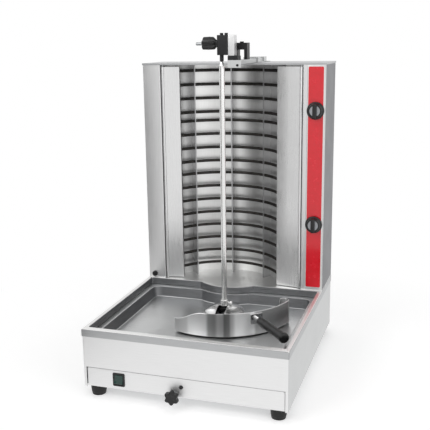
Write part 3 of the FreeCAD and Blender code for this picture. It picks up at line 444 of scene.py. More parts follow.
def grid_faces(rows: int, columns: int, wrap: bool = False, keep: np.ndarray | None = None) -> np.ndarray:
    """Quads of a grid whose points are numbered row by row.

    Args:
        rows: number of rows of points.
        columns: number of points in a row.
        wrap: whether each row closes on itself.
        keep: optional mask of shape (rows - 1, quads in a row); false leaves a quad out.

    Returns:
        An array of shape (n, 4).
    """
    across = columns if wrap else columns - 1
    r, c = np.meshgrid(np.arange(rows - 1), np.arange(across), indexing="ij")
    nxt = (c + 1) % columns
    quads = np.stack([r * columns + c, r * columns + nxt, (r + 1) * columns + nxt, (r + 1) * columns + c], -1)
    return quads[keep] if keep is not None else quads.reshape(-1, 4)


def loft(name: str, rings: np.ndarray, capped: bool = True, sharp: float = 32.0) -> bpy.types.Object:
    """Joins a stack of closed rings of equal count, and caps the first and last with one face each.

    Args:
        name: the piece's name.
        rings: an array of shape (rings, points in a ring, 3).
        capped: whether the two ends are closed.
        sharp: edges that turn by more than this many degrees stay crisp.

    Returns:
        The object.
    """
    count, size = rings.shape[:2]
    faces = grid_faces(count, size, wrap=True).tolist()
    if capped:
        faces.append(list(range(size))[::-1])
        faces.append(list(range((count - 1) * size, count * size)))
    return make_mesh(name, rings.reshape(-1, 3), faces, sharp)


def thickened(piece: bpy.types.Object, thickness: float, offset: float, sharp: float = 32.0) -> bpy.types.Object:
    """Gives an open sheet its wall with an applied Solidify, and shades it by angle.

    Args:
        piece: the sheet.
        thickness: wall in metres.
        offset: -1 grows against the normals, 1 along them.
        sharp: edges that turn by more than this many degrees stay crisp.

    Returns:
        The same object.
    """
    wall = piece.modifiers.new("wall", "SOLIDIFY")
    wall.thickness = thickness
    wall.offset = offset
    wall.use_even_offset = True
    bpy.context.view_layer.update()
    solid = bpy.data.meshes.new_from_object(piece.evaluated_get(bpy.context.evaluated_depsgraph_get()))
    piece.modifiers.clear()
    old = piece.data
    piece.data = solid
    bpy.data.meshes.remove(old)
    solid.name = piece.name
    solid.shade_smooth()
    solid.set_sharp_from_angle(angle=math.radians(sharp))
    return piece


def rounded_line(points: Sequence[Sequence[float]], radii: float | Sequence[float], steps: int = 6,
                 closed: bool = False) -> np.ndarray:
    """Rounds the corners of a line. Each corner becomes the circle arc that touches both runs.

    With P the corner, S and E the touching points and w the cosine of half the turn, the arc
    is the weighted curve ((1-t)^2 S + 2 w t (1-t) P + t^2 E) / ((1-t)^2 + 2 w t (1-t) + t^2).

    Args:
        points: corners in the plane.
        radii: one radius for all corners, or one for each.
        steps: pieces in an arc.
        closed: whether the line closes on itself.

    Returns:
        The points of the rounded line.
    """
    corners = np.asarray(points, float)
    count = len(corners)
    radius = np.broadcast_to(np.asarray(radii, float), (count,))
    t = np.linspace(0, 1, steps + 1)[:, None]
    out = []
    for k, corner in enumerate(corners):
        if not closed and k in (0, count - 1) or radius[k] <= 0:
            out.append(corner[None])
            continue
        before, after = corners[k - 1] - corner, corners[(k + 1) % count] - corner
        len_a, len_b = np.linalg.norm(before), np.linalg.norm(after)
        turn = math.pi - math.acos(np.clip(before @ after / (len_a * len_b), -1, 1))
        reach = min(radius[k] * math.tan(turn / 2), 0.49 * len_a, 0.49 * len_b)
        start, end, w = corner + before / len_a * reach, corner + after / len_b * reach, math.cos(turn / 2)
        weight = (1 - t) ** 2 + 2 * w * t * (1 - t) + t ** 2
        out.append(((1 - t) ** 2 * start + 2 * w * t * (1 - t) * corner + t ** 2 * end) / weight)
    return np.concatenate(out)


def turned(name: str, profile: np.ndarray, origin: Sequence[float], axis: Sequence[float], sides: int = 48,
           lobes: int = 0, lobe_depth: float = 0.0, sharp: float = 32.0) -> bpy.types.Object:
    """Turns a profile about an axis: point = origin + height * axis + radius * (cos, sin) across it.

    With lobes, the radius is multiplied by 1 + depth * (cos(lobes * angle) - 1) / 2.

    Args:
        name: the piece's name.
        profile: an array of (radius, height) pairs from one end to the other.
        origin: where height is 0.
        axis: direction of growing height.
        sides: points around.
        lobes: how many finger lobes stand round it.
        lobe_depth: how deep the hollows between lobes are, as a share of the radius.
        sharp: edges that turn by more than this many degrees stay crisp.

    Returns:
        The object.
    """
    along = np.array(Vector(axis).normalized())
    side = np.array(Vector(axis).normalized().orthogonal().normalized())
    if abs(along[0]) > 0.9 or abs(along[1]) > 0.9:
        side = np.array((0.0, 0.0, 1.0))
    other = np.cross(along, side)
    angle = np.linspace(0, 2 * math.pi, sides, endpoint=False)
    swell = 1 + lobe_depth * (np.cos(lobes * angle) - 1) / 2 if lobes else np.ones(sides)
    ring = np.cos(angle)[:, None] * side + np.sin(angle)[:, None] * other
    radius, height = profile[:, 0], profile[:, 1]
    rings = (np.asarray(origin, float) + height[:, None, None] * along
             + radius[:, None, None] * (ring * swell[:, None])[None])
    return loft(name, rings, True, sharp)


def rounded_rectangle(centre: Sequence[float], half: Sequence[float], corner: float,
                      arc_steps: int = 8, side_steps: int = 1) -> np.ndarray:
    """A rectangle with round corners, the same number of points whatever its size.

    Args:
        centre: middle of the rectangle.
        half: half width and half depth.
        corner: corner radius.
        arc_steps: pieces in a corner.
        side_steps: pieces in a side.

    Returns:
        Points counter-clockwise from the right side's lower end.
    """
    spots = []
    inner = np.array(half, float) - corner
    signs = [(1, 1), (-1, 1), (-1, -1), (1, -1)]
    arcs = []
    for k, sign in enumerate(signs):
        angle = math.pi / 2 * k + np.linspace(0, math.pi / 2, arc_steps + 1)
        arcs.append(np.array(centre) + inner * sign + corner * np.stack([np.cos(angle), np.sin(angle)], 1))
    for k, arc in enumerate(arcs):
        last = arcs[k - 1][-1]
        share = np.linspace(0, 1, side_steps + 1)[1:-1, None]
        spots.append(last + (arc[0] - last) * share)
        spots.append(arc)
    return np.concatenate(spots)


def nosed_outline(half: float, front: float, rear: float, corner: float, nose: float,
                  nose_at: Sequence[float], chord: float) -> np.ndarray:
    """A rectangle with round corners whose rear side gives way to a round nose.

    The nose is an arc of the given radius about nose_at. It meets the rear side at
    x = nose_x -+ sqrt(nose^2 - (nose_y - rear)^2). Without a nose, the same number of points
    stands on the straight side, over the chord.

    Args:
        half: half width.
        front: front side.
        rear: rear side.
        corner: corner radius.
        nose: radius of the nose, or 0 for none.
        nose_at: middle of the nose's circle.
        chord: half length of the stretch that the nose takes from a straight side.

    Returns:
        Points counter-clockwise from the front left.
    """
    ends = [(-half + corner, front + corner, 180), (half - corner, front + corner, 270),
            (half - corner, rear - corner, 0), (-half + corner, rear - corner, 90)]
    arcs = []
    for x, y, first in ends:
        angle = np.radians(np.linspace(first, first + 90, 9))
        arcs.append(np.stack([x + corner * np.cos(angle), y + corner * np.sin(angle)], 1))
    if nose > 0:
        lean = math.asin((nose_at[1] - rear) / nose)
        angle = np.linspace(-lean, -math.pi + lean, 41)
        bulge = np.array(nose_at) + nose * np.stack([np.cos(angle), np.sin(angle)], 1)
    else:
        bulge = np.stack([np.linspace(nose_at[0] + chord, nose_at[0] - chord, 41), np.full(41, rear)], 1)
    share = np.linspace(0, 1, 22)[1:-1, None]
    front_side, right_side, left_side = (a[-1] + (b[0] - a[-1]) * share for a, b in
                                         ((arcs[0], arcs[1]), (arcs[1], arcs[2]), (arcs[3], arcs[0])))
    return np.concatenate([arcs[0], front_side, arcs[1], right_side, arcs[2], bulge, arcs[3], left_side])


def at_height(flat: np.ndarray, height: float | np.ndarray) -> np.ndarray:
    """Lifts plan points to a height along Z."""
    return np.column_stack([flat, np.broadcast_to(height, len(flat))])


def rounded_block(name: str, low: Sequence[float], high: Sequence[float], corner: float,
                  edge: float, up: int = 2) -> bpy.types.Object:
    """A block with round upright corners and rolled top and bottom edges.

    The rings shrink by edge * (1 - cos a) while they rise by edge * (1 - sin a) towards each end.

    Args:
        name: the piece's name.
        low: lowest corner.
        high: highest corner.
        corner: radius of the upright corners.
        edge: radius of the top and bottom edges.
        up: which axis counts as upright, 0, 1 or 2.

    Returns:
        The object.
    """
    order = [k for k in range(3) if k != up] + [up]
    lo, hi = np.array(low, float)[order], np.array(high, float)[order]
    centre, half = (lo + hi)[:2] / 2, (hi - lo)[:2] / 2
    angle = np.linspace(0, math.pi / 2, 5)
    steps = [(edge * (1 - math.sin(a)), lo[2] + edge * (1 - math.cos(a))) for a in angle]
    steps += [(inset, hi[2] - (z - lo[2])) for inset, z in steps[::-1]]
    rings = np.stack([at_height(rounded_rectangle(centre, half - inset, max(corner - inset, 1e-5)), z)
                      for inset, z in steps])
    back = np.argsort(order)
    return loft(name, rings[:, :, back])


def tube(name: str, path: np.ndarray, lift: np.ndarray, radius: float, sides: int = 14) -> bpy.types.Object:
    """A round tube: at each point of the path a ring about it, counted from the lift direction.

    Args:
        name: the piece's name.
        path: centre points, an array of shape (n, 3).
        lift: a direction square to the path at each point.
        radius: tube radius.
        sides: points around.

    Returns:
        The object.
    """
    along = np.gradient(path, axis=0)
    along /= np.linalg.norm(along, axis=1, keepdims=True)
    side = np.cross(along, lift)
    side /= np.linalg.norm(side, axis=1, keepdims=True)
    up = np.cross(side, along)
    angle = np.linspace(0, 2 * math.pi, sides, endpoint=False)
    rings = path[:, None] + radius * (np.cos(angle)[None, :, None] * up[:, None]
                                      + np.sin(angle)[None, :, None] * side[:, None])
    return loft(name, rings, True)


def folded_sheet(name: str, plan: np.ndarray, heights: Sequence[float], thickness: float, offset: float,
                 holes: np.ndarray | None = None) -> bpy.types.Object:
    """A sheet that follows a line in plan and stands upright: point = (plan(s), z).

    Args:
        name: the piece's name.
        plan: the line in plan.
        heights: levels from the bottom up.
        thickness: the sheet's wall.
        offset: -1 or 1, the side of the line that the wall grows to.
        holes: optional mask of quads to keep, of shape (levels - 1, runs).

    Returns:
        The object.
    """
    rows = np.stack([at_height(plan, z) for z in heights])
    faces = grid_faces(len(heights), len(plan), keep=holes)
    piece = make_mesh(name, rows.reshape(-1, 3), faces.tolist(), closed=False)
    return thickened(piece, thickness, offset)


def finished_copy(node: str, edge_mm: float = 0.35, sharp: float = 30.0) -> bpy.types.Object:
    """A copy of a CAD node with its triangles merged, flat faces joined and edges broken.

    Args:
        node: the CAD node.
        edge_mm: width of the broken edge.
        sharp: edges that turn by more than this many degrees are broken.

    Returns:
        The copy, with a Bevel modifier.
    """
    mesh = frame["nodes"][node].data.copy()
    mesh.name = f"{node}_finished"
    work = bmesh.new()
    work.from_mesh(mesh)
    bmesh.ops.remove_doubles(work, verts=work.verts, dist=2e-6)
    bmesh.ops.dissolve_limit(work, angle_limit=math.radians(0.3), verts=work.verts, edges=work.edges)
    work.to_mesh(mesh)
    work.free()
    mesh.shade_smooth()
    mesh.set_sharp_from_angle(angle=math.radians(sharp))
    piece = bpy.data.objects.new(mesh.name, mesh)
    bpy.context.scene.collection.objects.link(piece)
    if edge_mm > 0:
        broken = piece.modifiers.new("broken edges", "BEVEL")
        broken.width = edge_mm * MM
        broken.segments = 2
        broken.limit_method = "ANGLE"
        broken.angle_limit = math.radians(sharp)
        broken.harden_normals = False
    return piece


def middle(node: str) -> Vector:
    """Middle of a CAD node's box."""
    low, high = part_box(node)
    return (low + high) / 2


# ---------------------------------------------------------------- base
@dataclass
class Base:
    """Stainless base: bent front and sides, top frame, recessed pan, feet."""

    shop: Workshop
    sheet: float = 1.5 * MM
    pan_wall: float = 1.2 * MM
    bend: float = 2.2 * MM
    rim_front: float = 18 * MM
    rim_side: float = 12 * MM
    rim_flange: float = 18 * MM
    seam: float = 75 * MM
    side_strip: float = 7 * MM
    well_corner: float = 24 * MM
    well_ledge: float = 15 * MM
    well_draft: float = 4 * MM
    floor_fillet: float = 3.5 * MM
    flange_tail: float = 14 * MM
    seam_gap: float = 1.0 * MM
    nose: float = 110 * MM
    nose_reach: float = 31 * MM
    nose_ledge: float = 5 * MM
    nose_x: float = -15 * MM
    chord: float = 76 * MM
    slot_half: float = 11 * MM
    slot_travel: float = 25 * MM
    slot_lip: float = 8 * MM

    def shell(self) -> None:
        """Front and side walls in one bent sheet, open where the lower panel sits.

        Point = (plan(s), z), with the quads of the window left out.
        """
        low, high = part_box("base_shell")
        half, front, rear = high.x, low.y, high.y
        edge = half - self.side_strip
        corners = rounded_line([(-half, rear), (-half, front), (half, front), (half, rear)], self.bend)
        before = corners[:len(corners) // 2]
        after = corners[len(corners) // 2:]
        plan = np.concatenate([before, [(-edge, front), (edge, front)], after])
        levels = [low.z, self.seam, high.z]
        keep = np.ones((2, len(plan) - 1), bool)
        keep[0, len(before)] = False
        piece = folded_sheet("base_shell_sheet", plan, levels, self.sheet, -1, keep)
        self.shop.fit(piece, ["front_sheet", "side_sheet"], "base_shell")
        self.by_direction(piece)

    @staticmethod
    def by_direction(piece: bpy.types.Object) -> None:
        """Gives faces that look sideways the second finish, so that the grain follows the sheet."""
        normals = np.zeros(len(piece.data.polygons) * 3)
        piece.data.polygons.foreach_get("normal", normals)
        sideways = (np.abs(normals.reshape(-1, 3)[:, 0]) > 0.7).astype(np.int32)
        piece.data.polygons.foreach_set("material_index", sideways)

    def top_frame(self) -> None:
        """Skirt, flat rim and rear deck, and the flange down into the pan's opening.

        Rings run round the outer edge, roll over it, cross the plate, roll over the opening's
        edge and go down; each ring is a rounded rectangle.
        """
        low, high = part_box("deck_frame")
        bend = self.bend
        front = low.y + self.rim_front
        rear = self.deck_front()
        side = high.x - self.rim_side
        rings = [self.outline(high.x, low.y, high.y, 2.5 * MM, low.z)]
        for a in np.linspace(0, math.pi / 2, 5):
            inset = bend * (1 - math.cos(a))
            rings.append(self.outline(high.x - inset, low.y + inset, high.y - inset, 2.5 * MM,
                                      high.z - bend + bend * math.sin(a)))
        for a in np.linspace(math.pi / 2, 0, 5):
            grow = bend * (1 - math.cos(a))
            rings.append(self.outline(side + grow, front - grow, rear + grow, 3 * MM,
                                      high.z - bend + bend * math.sin(a), self.nose - grow))
        rings.append(self.outline(side, front, rear, 3 * MM, high.z - self.rim_flange, self.nose))
        stack = np.stack(rings)
        faces = grid_faces(len(stack), stack.shape[1], wrap=True)
        piece = make_mesh("deck_frame_sheet", stack.reshape(-1, 3), faces.tolist(), closed=False)
        # Upright faces take pan_wall, darkened for painted shade.
        self.shop.fit(thickened(piece, self.sheet, -1), ["deck_sheet", "pan_wall", "skirt_sheet"], "deck_frame")
        self.upright_faces(piece)
        # The skirt's outer faces take the greyed skirt_sheet: painted shade.
        self.skirt_faces(piece, low, high)

    @staticmethod
    def upright_faces(piece: bpy.types.Object) -> None:
        """Gives faces that stand up the second finish: on the deck and pan a darker stainless for painted shade, on
        the scoop the painted reflection bands.
        """
        normals = np.zeros(len(piece.data.polygons) * 3)
        piece.data.polygons.foreach_get("normal", normals)
        upright = (np.abs(normals.reshape(-1, 3)[:, 2]) < 0.6).astype(np.int32)
        piece.data.polygons.foreach_set("material_index", upright)

    def deck_front(self) -> float:
        """Straight part of the deck's front edge, from the pan flange that ends behind it."""
        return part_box("catch_pan")[1].y - self.flange_tail

    def outline(self, half: float, front: float, rear: float, corner: float, z: float,
                nose: float = 0.0) -> np.ndarray:
        """One ring of the deck or the pan, at a height."""
        nose_at = (self.nose_x, self.deck_front() - self.nose_reach + self.nose)
        return at_height(nosed_outline(half, front, rear, corner, nose, nose_at, self.chord), z)

    @staticmethod
    def skirt_faces(piece: bpy.types.Object, low: Vector, high: Vector) -> None:
        """Gives the upright outer faces of the skirt the third finish, a greyed stainless that paints shade onto the
        fold.
        """
        for face in piece.data.polygons:
            outside = max(abs(face.center.x) - high.x, abs(face.center.y) - high.y) > -0.5 * MM
            if outside and abs(face.normal.z) < 0.5:
                face.material_index = 2

    def pan(self) -> None:
        """Recessed pan: flange, rolled edge, sloped wall, filleted floor and the lip round the slot.

        Rings are rounded rectangles that shrink from the flange to the slot, whose outline is
        one with corners as large as its half width.
        """
        low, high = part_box("catch_pan")
        top, floor = high.z, low.z + self.pan_wall
        frame_low, frame_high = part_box("deck_frame")
        front = frame_low.y + self.rim_front + self.well_ledge
        rear = self.deck_front() - self.well_ledge
        side = frame_high.x - self.rim_side - self.well_ledge
        nose = self.nose + self.nose_ledge
        roll, draft, fillet = 2.5 * MM, self.well_draft, self.floor_fillet
        rings = [self.outline(high.x, low.y, high.y, 2 * MM, top)]
        for a in np.linspace(math.pi / 2, 0, 5):
            grow = roll * (1 - math.cos(a))
            rings.append(self.outline(side + grow, front - grow, rear + grow, self.well_corner + grow,
                                      top - roll + roll * math.sin(a), nose - grow))
        for a in np.linspace(0, math.pi / 2, 6):
            inset = draft + fillet * (1 - math.cos(a))
            rings.append(self.outline(side - inset, front + inset, rear - inset, self.well_corner - draft,
                                      floor + fillet * (1 - math.sin(a)), nose + inset))
        spit = middle("spit_rod")
        slot_mid = np.array([spit.x, spit.y - self.slot_travel / 2])
        slot_size = np.array([self.slot_half, self.slot_half + self.slot_travel / 2])
        rings += [self.slot_ring(rings[-1], slot_mid, slot_size + self.pan_wall + grow, z) for grow, z in
                  ((1.5 * MM, floor), (0.0, floor + 1.5 * MM), (0.0, floor + self.slot_lip))]
        stack = np.stack(rings)
        faces = grid_faces(len(stack), stack.shape[1], wrap=True)
        piece = make_mesh("catch_pan_sheet", stack.reshape(-1, 3), faces.tolist(), closed=False)
        # Upright faces take pan_wall, darkened for painted shade.
        self.shop.fit(thickened(piece, self.pan_wall, -1), ["pan_sheet", "pan_wall"], "catch_pan")
        self.upright_faces(piece)

    @staticmethod
    def slot_ring(floor_ring: np.ndarray, mid: np.ndarray, half: np.ndarray, z: float) -> np.ndarray:
        """A stadium round the slot whose points stand in the same directions as the floor's edge.

        For a direction (c, s) the point is on the straight sides where |s| < |c| * length / width,
        and on an end circle of the slot's half width otherwise.
        """
        away = floor_ring[:, :2] - mid
        angle = np.unwrap(np.arctan2(away[:, 1], away[:, 0]))
        c, s = np.cos(angle), np.sin(angle)
        r, end = half[0], half[1] - half[0]
        round_part = np.abs(s) * end + np.sqrt(np.maximum(r ** 2 - (end * c) ** 2, 0))
        straight = r / np.maximum(np.abs(c), 1e-9)
        reach = np.where(straight * np.abs(s) <= end, straight, round_part)
        return at_height(mid + np.stack([c, s], 1) * reach[:, None], z)

    def panel(self) -> None:
        """Lower front panel: a face with rolled edges, returns to the back and the switch's hole."""
        low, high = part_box("control_panel")
        bezel_low, bezel_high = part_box("switch_bezel")
        mid, half = ((low + high) / 2), ((high - low) / 2)
        bend = 2.2 * MM
        half.z -= self.seam_gap / 2
        mid.z -= self.seam_gap / 2
        rings = [self.upright(mid, half, 0.0, high.y, 3 * MM)]
        for a in np.linspace(0, math.pi / 2, 6):
            rings.append(self.upright(mid, half, bend * (1 - math.cos(a)), low.y + bend * (1 - math.sin(a)), 3 * MM))
        hole_mid, hole_half = (bezel_low + bezel_high) / 2, (bezel_high - bezel_low) / 2
        rings += [self.upright(hole_mid, hole_half, 1.8 * MM, y, 1 * MM) for y in (low.y, low.y + 1 * MM)]
        stack = np.stack(rings)
        faces = grid_faces(len(stack), stack.shape[1], wrap=True)
        piece = make_mesh("control_panel_sheet", stack.reshape(-1, 3), faces.tolist(), closed=False)
        self.shop.fit(thickened(piece, self.sheet, -1), "front_sheet", "control_panel")

    @staticmethod
    def upright(mid: Vector, half: Vector, inset: float, y: float, corner: float) -> np.ndarray:
        """A rounded rectangle standing in the X-Z plane at a depth."""
        flat = rounded_rectangle((mid.x, mid.z), (half.x - inset, half.z - inset), corner, 4)
        return np.column_stack([flat[:, 0], np.full(len(flat), y), flat[:, 1]])

    def feet(self) -> None:
        """Four turned rubber feet with a grooved foot, in one piece."""
        low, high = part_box("feet")
        tall = high.z - low.z
        profile = rounded_line([(0, 0), (16.4 * MM, 0), (17 * MM, 3 * MM), (17.2 * MM, 6 * MM),
                                (18.1 * MM, 8 * MM), (19.4 * MM, tall - 1 * MM), (18.6 * MM, tall), (0, tall)],
                               [0, 1.2 * MM, 0.8 * MM, 0.8 * MM, 0.8 * MM, 1 * MM, 0.5 * MM, 0], 4)
        reach = 19.5 * MM
        made = []
        for x in (low.x + reach, high.x - reach):
            for y in (low.y + reach, high.y - reach):
                made.append(turned("foot", profile, (x, y, low.z), (0, 0, 1), 40))
        self.shop.fit(joined("rubber_feet", made), "rubber", "feet")

    def build(self) -> None:
        """Makes every piece of the base."""
        self.shell()
        self.top_frame()
        self.pan()
        self.panel()
        self.feet()
        for node, key in {"base_bottom": "zinc", "base_rear": "front_sheet",
                          "pan_rails": "zinc", "body_screws": "black_steel", "cable_gland": "black_plastic",
                          "carriage_rails": "zinc", "pull_rod_bush": "zinc", "pull_rod": "zinc",
                          "drive_carriage": "zinc", "gearbox": "cast_aluminium",
                          "drive_motor": "black_steel", "drive_shaft": "zinc",
                          "drive_socket": "black_steel"}.items():
            self.shop.fit(finished_copy(node), key, node)


def joined(name: str, pieces: Sequence[bpy.types.Object]) -> bpy.types.Object:
    """Puts several meshes into one piece, each as it stands.

    Args:
        name: the new piece's name.
        pieces: the objects, which are removed.

    Returns:
        The joined object.
    """
    work = bmesh.new()
    for piece in pieces:
        work.from_mesh(piece.data)
    mesh = bpy.data.meshes.new(name)
    work.to_mesh(mesh)
    work.free()
    for piece in pieces:
        bpy.data.objects.remove(piece)
    whole = bpy.data.objects.new(name, mesh)
    bpy.context.scene.collection.objects.link(whole)
    return whole


# ---------------------------------------------------------------- controls
@dataclass
class StarKnob:
    """Black star knob with rounded lobes and a dished face."""

    shop: Workshop
    lobes: int = 6
    lobe_depth: float = 0.24

    def build(self, node: str, axis: Vector, radius: float, face: float, back: float, centre: Vector) -> None:
        """Makes one star knob.

        The profile runs from the back hub over the rounded rim to the dished face.

        Args:
            node: the CAD node it stands for.
            axis: from its back to its face.
            radius: over the lobes.
            face: distance of the face along the axis from centre.
            back: distance of the back along the axis from centre.
            centre: a point on the axis.
        """
        deep = face - back
        outline = [(0, back), (radius * 0.5, back), (radius * 0.55, back + 0.12 * deep),
                   (radius * 0.97, back + 0.3 * deep), (radius, back + 0.55 * deep),
                   (radius * 0.96, face - 0.06 * deep), (radius * 0.7, face), (radius * 0.42, face - 0.05 * deep),
                   (0, face - 0.09 * deep)]
        profile = rounded_line(outline, [0, 1 * MM, 1.5 * MM, 3 * MM, 3 * MM, 2.5 * MM, 2 * MM, 2 * MM, 0], 4)
        piece = turned(f"{node}_moulding", profile, centre, axis, 96, self.lobes, self.lobe_depth, 50)
        self.shop.fit(piece, "black_plastic", node)


@dataclass
class ControlKnob:
    """Rotary control: chamfered skirt, tapered body and a finger bar with a rounded back."""

    shop: Workshop
    radius: float = 22.5 * MM
    skirt: float = 6 * MM
    bar_half: float = 5 * MM
    shaft: float = 3 * MM

    def build(self, node: str) -> None:
        """Makes one control knob with its shaft, from its CAD node's box.

        Args:
            node: the CAD node it stands for.
        """
        low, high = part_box(node)
        centre = (low + high) / 2
        back = high.y - 14 * MM
        front = low.y
        mid = (centre.x, back, centre.z)
        r = self.radius
        profile = rounded_line([(0, 0), (r - 1 * MM, 0), (r, 1 * MM), (r, self.skirt - 2 * MM),
                                (r - 2.2 * MM, self.skirt), (r - 3.4 * MM, self.skirt + 0.4 * MM),
                                (r - 5 * MM, self.skirt + 8 * MM), (0, self.skirt + 8 * MM)],
                               [0, 0.6 * MM, 0.6 * MM, 1.5 * MM, 0.8 * MM, 0.6 * MM, 2 * MM, 0], 4)
        body = turned("body", profile, mid, (0, -1, 0), 64)
        shaft = turned("shaft", np.array([(0, 0), (self.shaft, 0), (self.shaft, 13.4 * MM),
                                          (self.shaft - 0.6 * MM, 14 * MM), (0, 14 * MM)]), mid, (0, 1, 0), 20)
        face = self.skirt + 8 * MM
        # A grey metal disc under the finger bar stands in for the highlights on the black face: painted highlight.
        highlight_disc = turned("highlight_disc", np.array([(0, face), (r - 9 * MM, face), (r - 9.4 * MM, face + 0.4 * MM),
                                          (0, face + 0.4 * MM)]), mid, (0, -1, 0), 48)
        highlight_disc.data.polygons.foreach_set("material_index", np.ones(len(highlight_disc.data.polygons), np.int32))
        half = self.bar_half
        reach = r - 4 * MM
        grip = rounded_block("grip", (centre.x - half, front, centre.z - reach),
                             (centre.x + half, back - self.skirt, centre.z + reach), 2.2 * MM, 2.2 * MM, 1)
        self.shop.fit(joined(f"{node}_moulding", [body, shaft, grip, highlight_disc]),
                      ["black_plastic", "knob_painted_highlight"], node)


@dataclass
class RockerSwitch:
    """Lit rocker in a black frame. The rocker's face is two slopes that meet over its axle."""

    shop: Workshop
    tilt: float = 8.0
    key_rise: float = 4.0 * MM
    dish: float = 1.1 * MM

    def frame_ring(self) -> None:
        """Black frame with rolled edges round an open well, from nested rounded rectangles."""
        low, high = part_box("switch_bezel")
        mid = np.array([(low.x + high.x) / 2, (low.z + high.z) / 2])
        half = np.array([(high.x - low.x) / 2, (high.z - low.z) / 2])
        face, rear = low.y, high.y
        flange = face + 2.5 * MM
        steps = [(0.0, flange, 3.0), (0.0, face + 1 * MM, 3.0), (0.4, face + 0.3 * MM, 2.7), (1.0, face, 2.4),
                 (3.4, face, 1.4), (3.9, face + 0.3 * MM, 1.2), (4.0, face + 0.9 * MM, 1.2),
                 (4.0, flange + 14 * MM, 1.2)]
        rings = [self.ring(mid, half, inset * MM, corner * MM, y) for inset, y, corner in steps]
        stack = np.stack(rings)
        faces = grid_faces(len(stack), stack.shape[1], wrap=True).tolist()
        size = stack.shape[1]
        faces.append(list(range((len(stack) - 1) * size, len(stack) * size)))
        well = make_mesh("frame", stack.reshape(-1, 3), faces, closed=False)
        outside = [(0.0, flange, 3.0), (2.0, flange, 1.0), (2.0, rear, 1.0)]
        body = np.stack([self.ring(mid, half, inset * MM, corner * MM, y) for inset, y, corner in outside])
        faces = grid_faces(3, size, wrap=True).tolist()
        faces.append(list(range(2 * size, 3 * size)))
        shell = make_mesh("shell", body.reshape(-1, 3), faces, closed=False)
        whole = joined("switch_bezel_moulding", [well, shell])
        close_up(whole)
        self.shop.fit(whole, "black_plastic", "switch_bezel")

    @staticmethod
    def ring(mid: np.ndarray, half: np.ndarray, inset: float, corner: float, y: float) -> np.ndarray:
        """One rounded rectangle standing in the X-Z plane."""
        flat = rounded_rectangle(mid, half - inset, corner)
        return np.column_stack([flat[:, 0], np.full(len(flat), y), flat[:, 1]])

    def key(self) -> None:
        """The lit rocker, whose face dips by a cosine between its two ends, then tipped."""
        low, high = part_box("switch_bezel")
        face = low.y
        panel = face + 2.5 * MM
        mid = (low + high) / 2
        half_x = (high.x - low.x) / 2 - 4.3 * MM
        half_z = (high.z - low.z) / 2 - 5.6 * MM
        proud = face - 1.5 * MM
        rows = np.linspace(-1, 1, 25)
        levels = np.stack([self.key_row(mid, half_x, half_z * t, proud, panel, t) for t in rows])
        piece = loft("switch_rocker_lens", levels, True, 40)
        turn = (Matrix.Translation((mid.x, panel + 5 * MM, mid.z)) @ Matrix.Rotation(math.radians(-self.tilt), 4, "X")
                @ Matrix.Translation((-mid.x, -panel - 5 * MM, -mid.z)))
        piece.data.transform(turn)
        self.shop.fit(piece, "green_lens", "switch_rocker")

    def key_row(self, mid: Vector, half_x: float, z: float, proud: float, panel: float, t: float) -> np.ndarray:
        """One level section of the key, deeper near its middle where the stem is."""
        front = proud + self.dish * math.cos(t * math.pi / 2) + 1.0 * MM * max(0.0, abs(t) - 0.92) / 0.08
        rear = panel + (8 * MM if abs(t) < 0.27 else 4 * MM)
        centre = (mid.x, (front + rear) / 2)
        flat = rounded_rectangle(centre, (half_x, (rear - front) / 2), 0.8 * MM, 4)
        return at_height(flat, mid.z + z)

    def build(self) -> None:
        """Makes the switch."""
        self.frame_ring()
        self.key()


def close_up(piece: bpy.types.Object) -> None:
    """Merges a piece's doubles and turns its faces out, then shades it by angle."""
    work = bmesh.new()
    work.from_mesh(piece.data)
    bmesh.ops.remove_doubles(work, verts=work.verts, dist=1e-6)
    bmesh.ops.recalc_face_normals(work, faces=work.faces)
    work.to_mesh(piece.data)
    work.free()
    piece.data.shade_smooth()
    piece.data.set_sharp_from_angle(angle=math.radians(32))


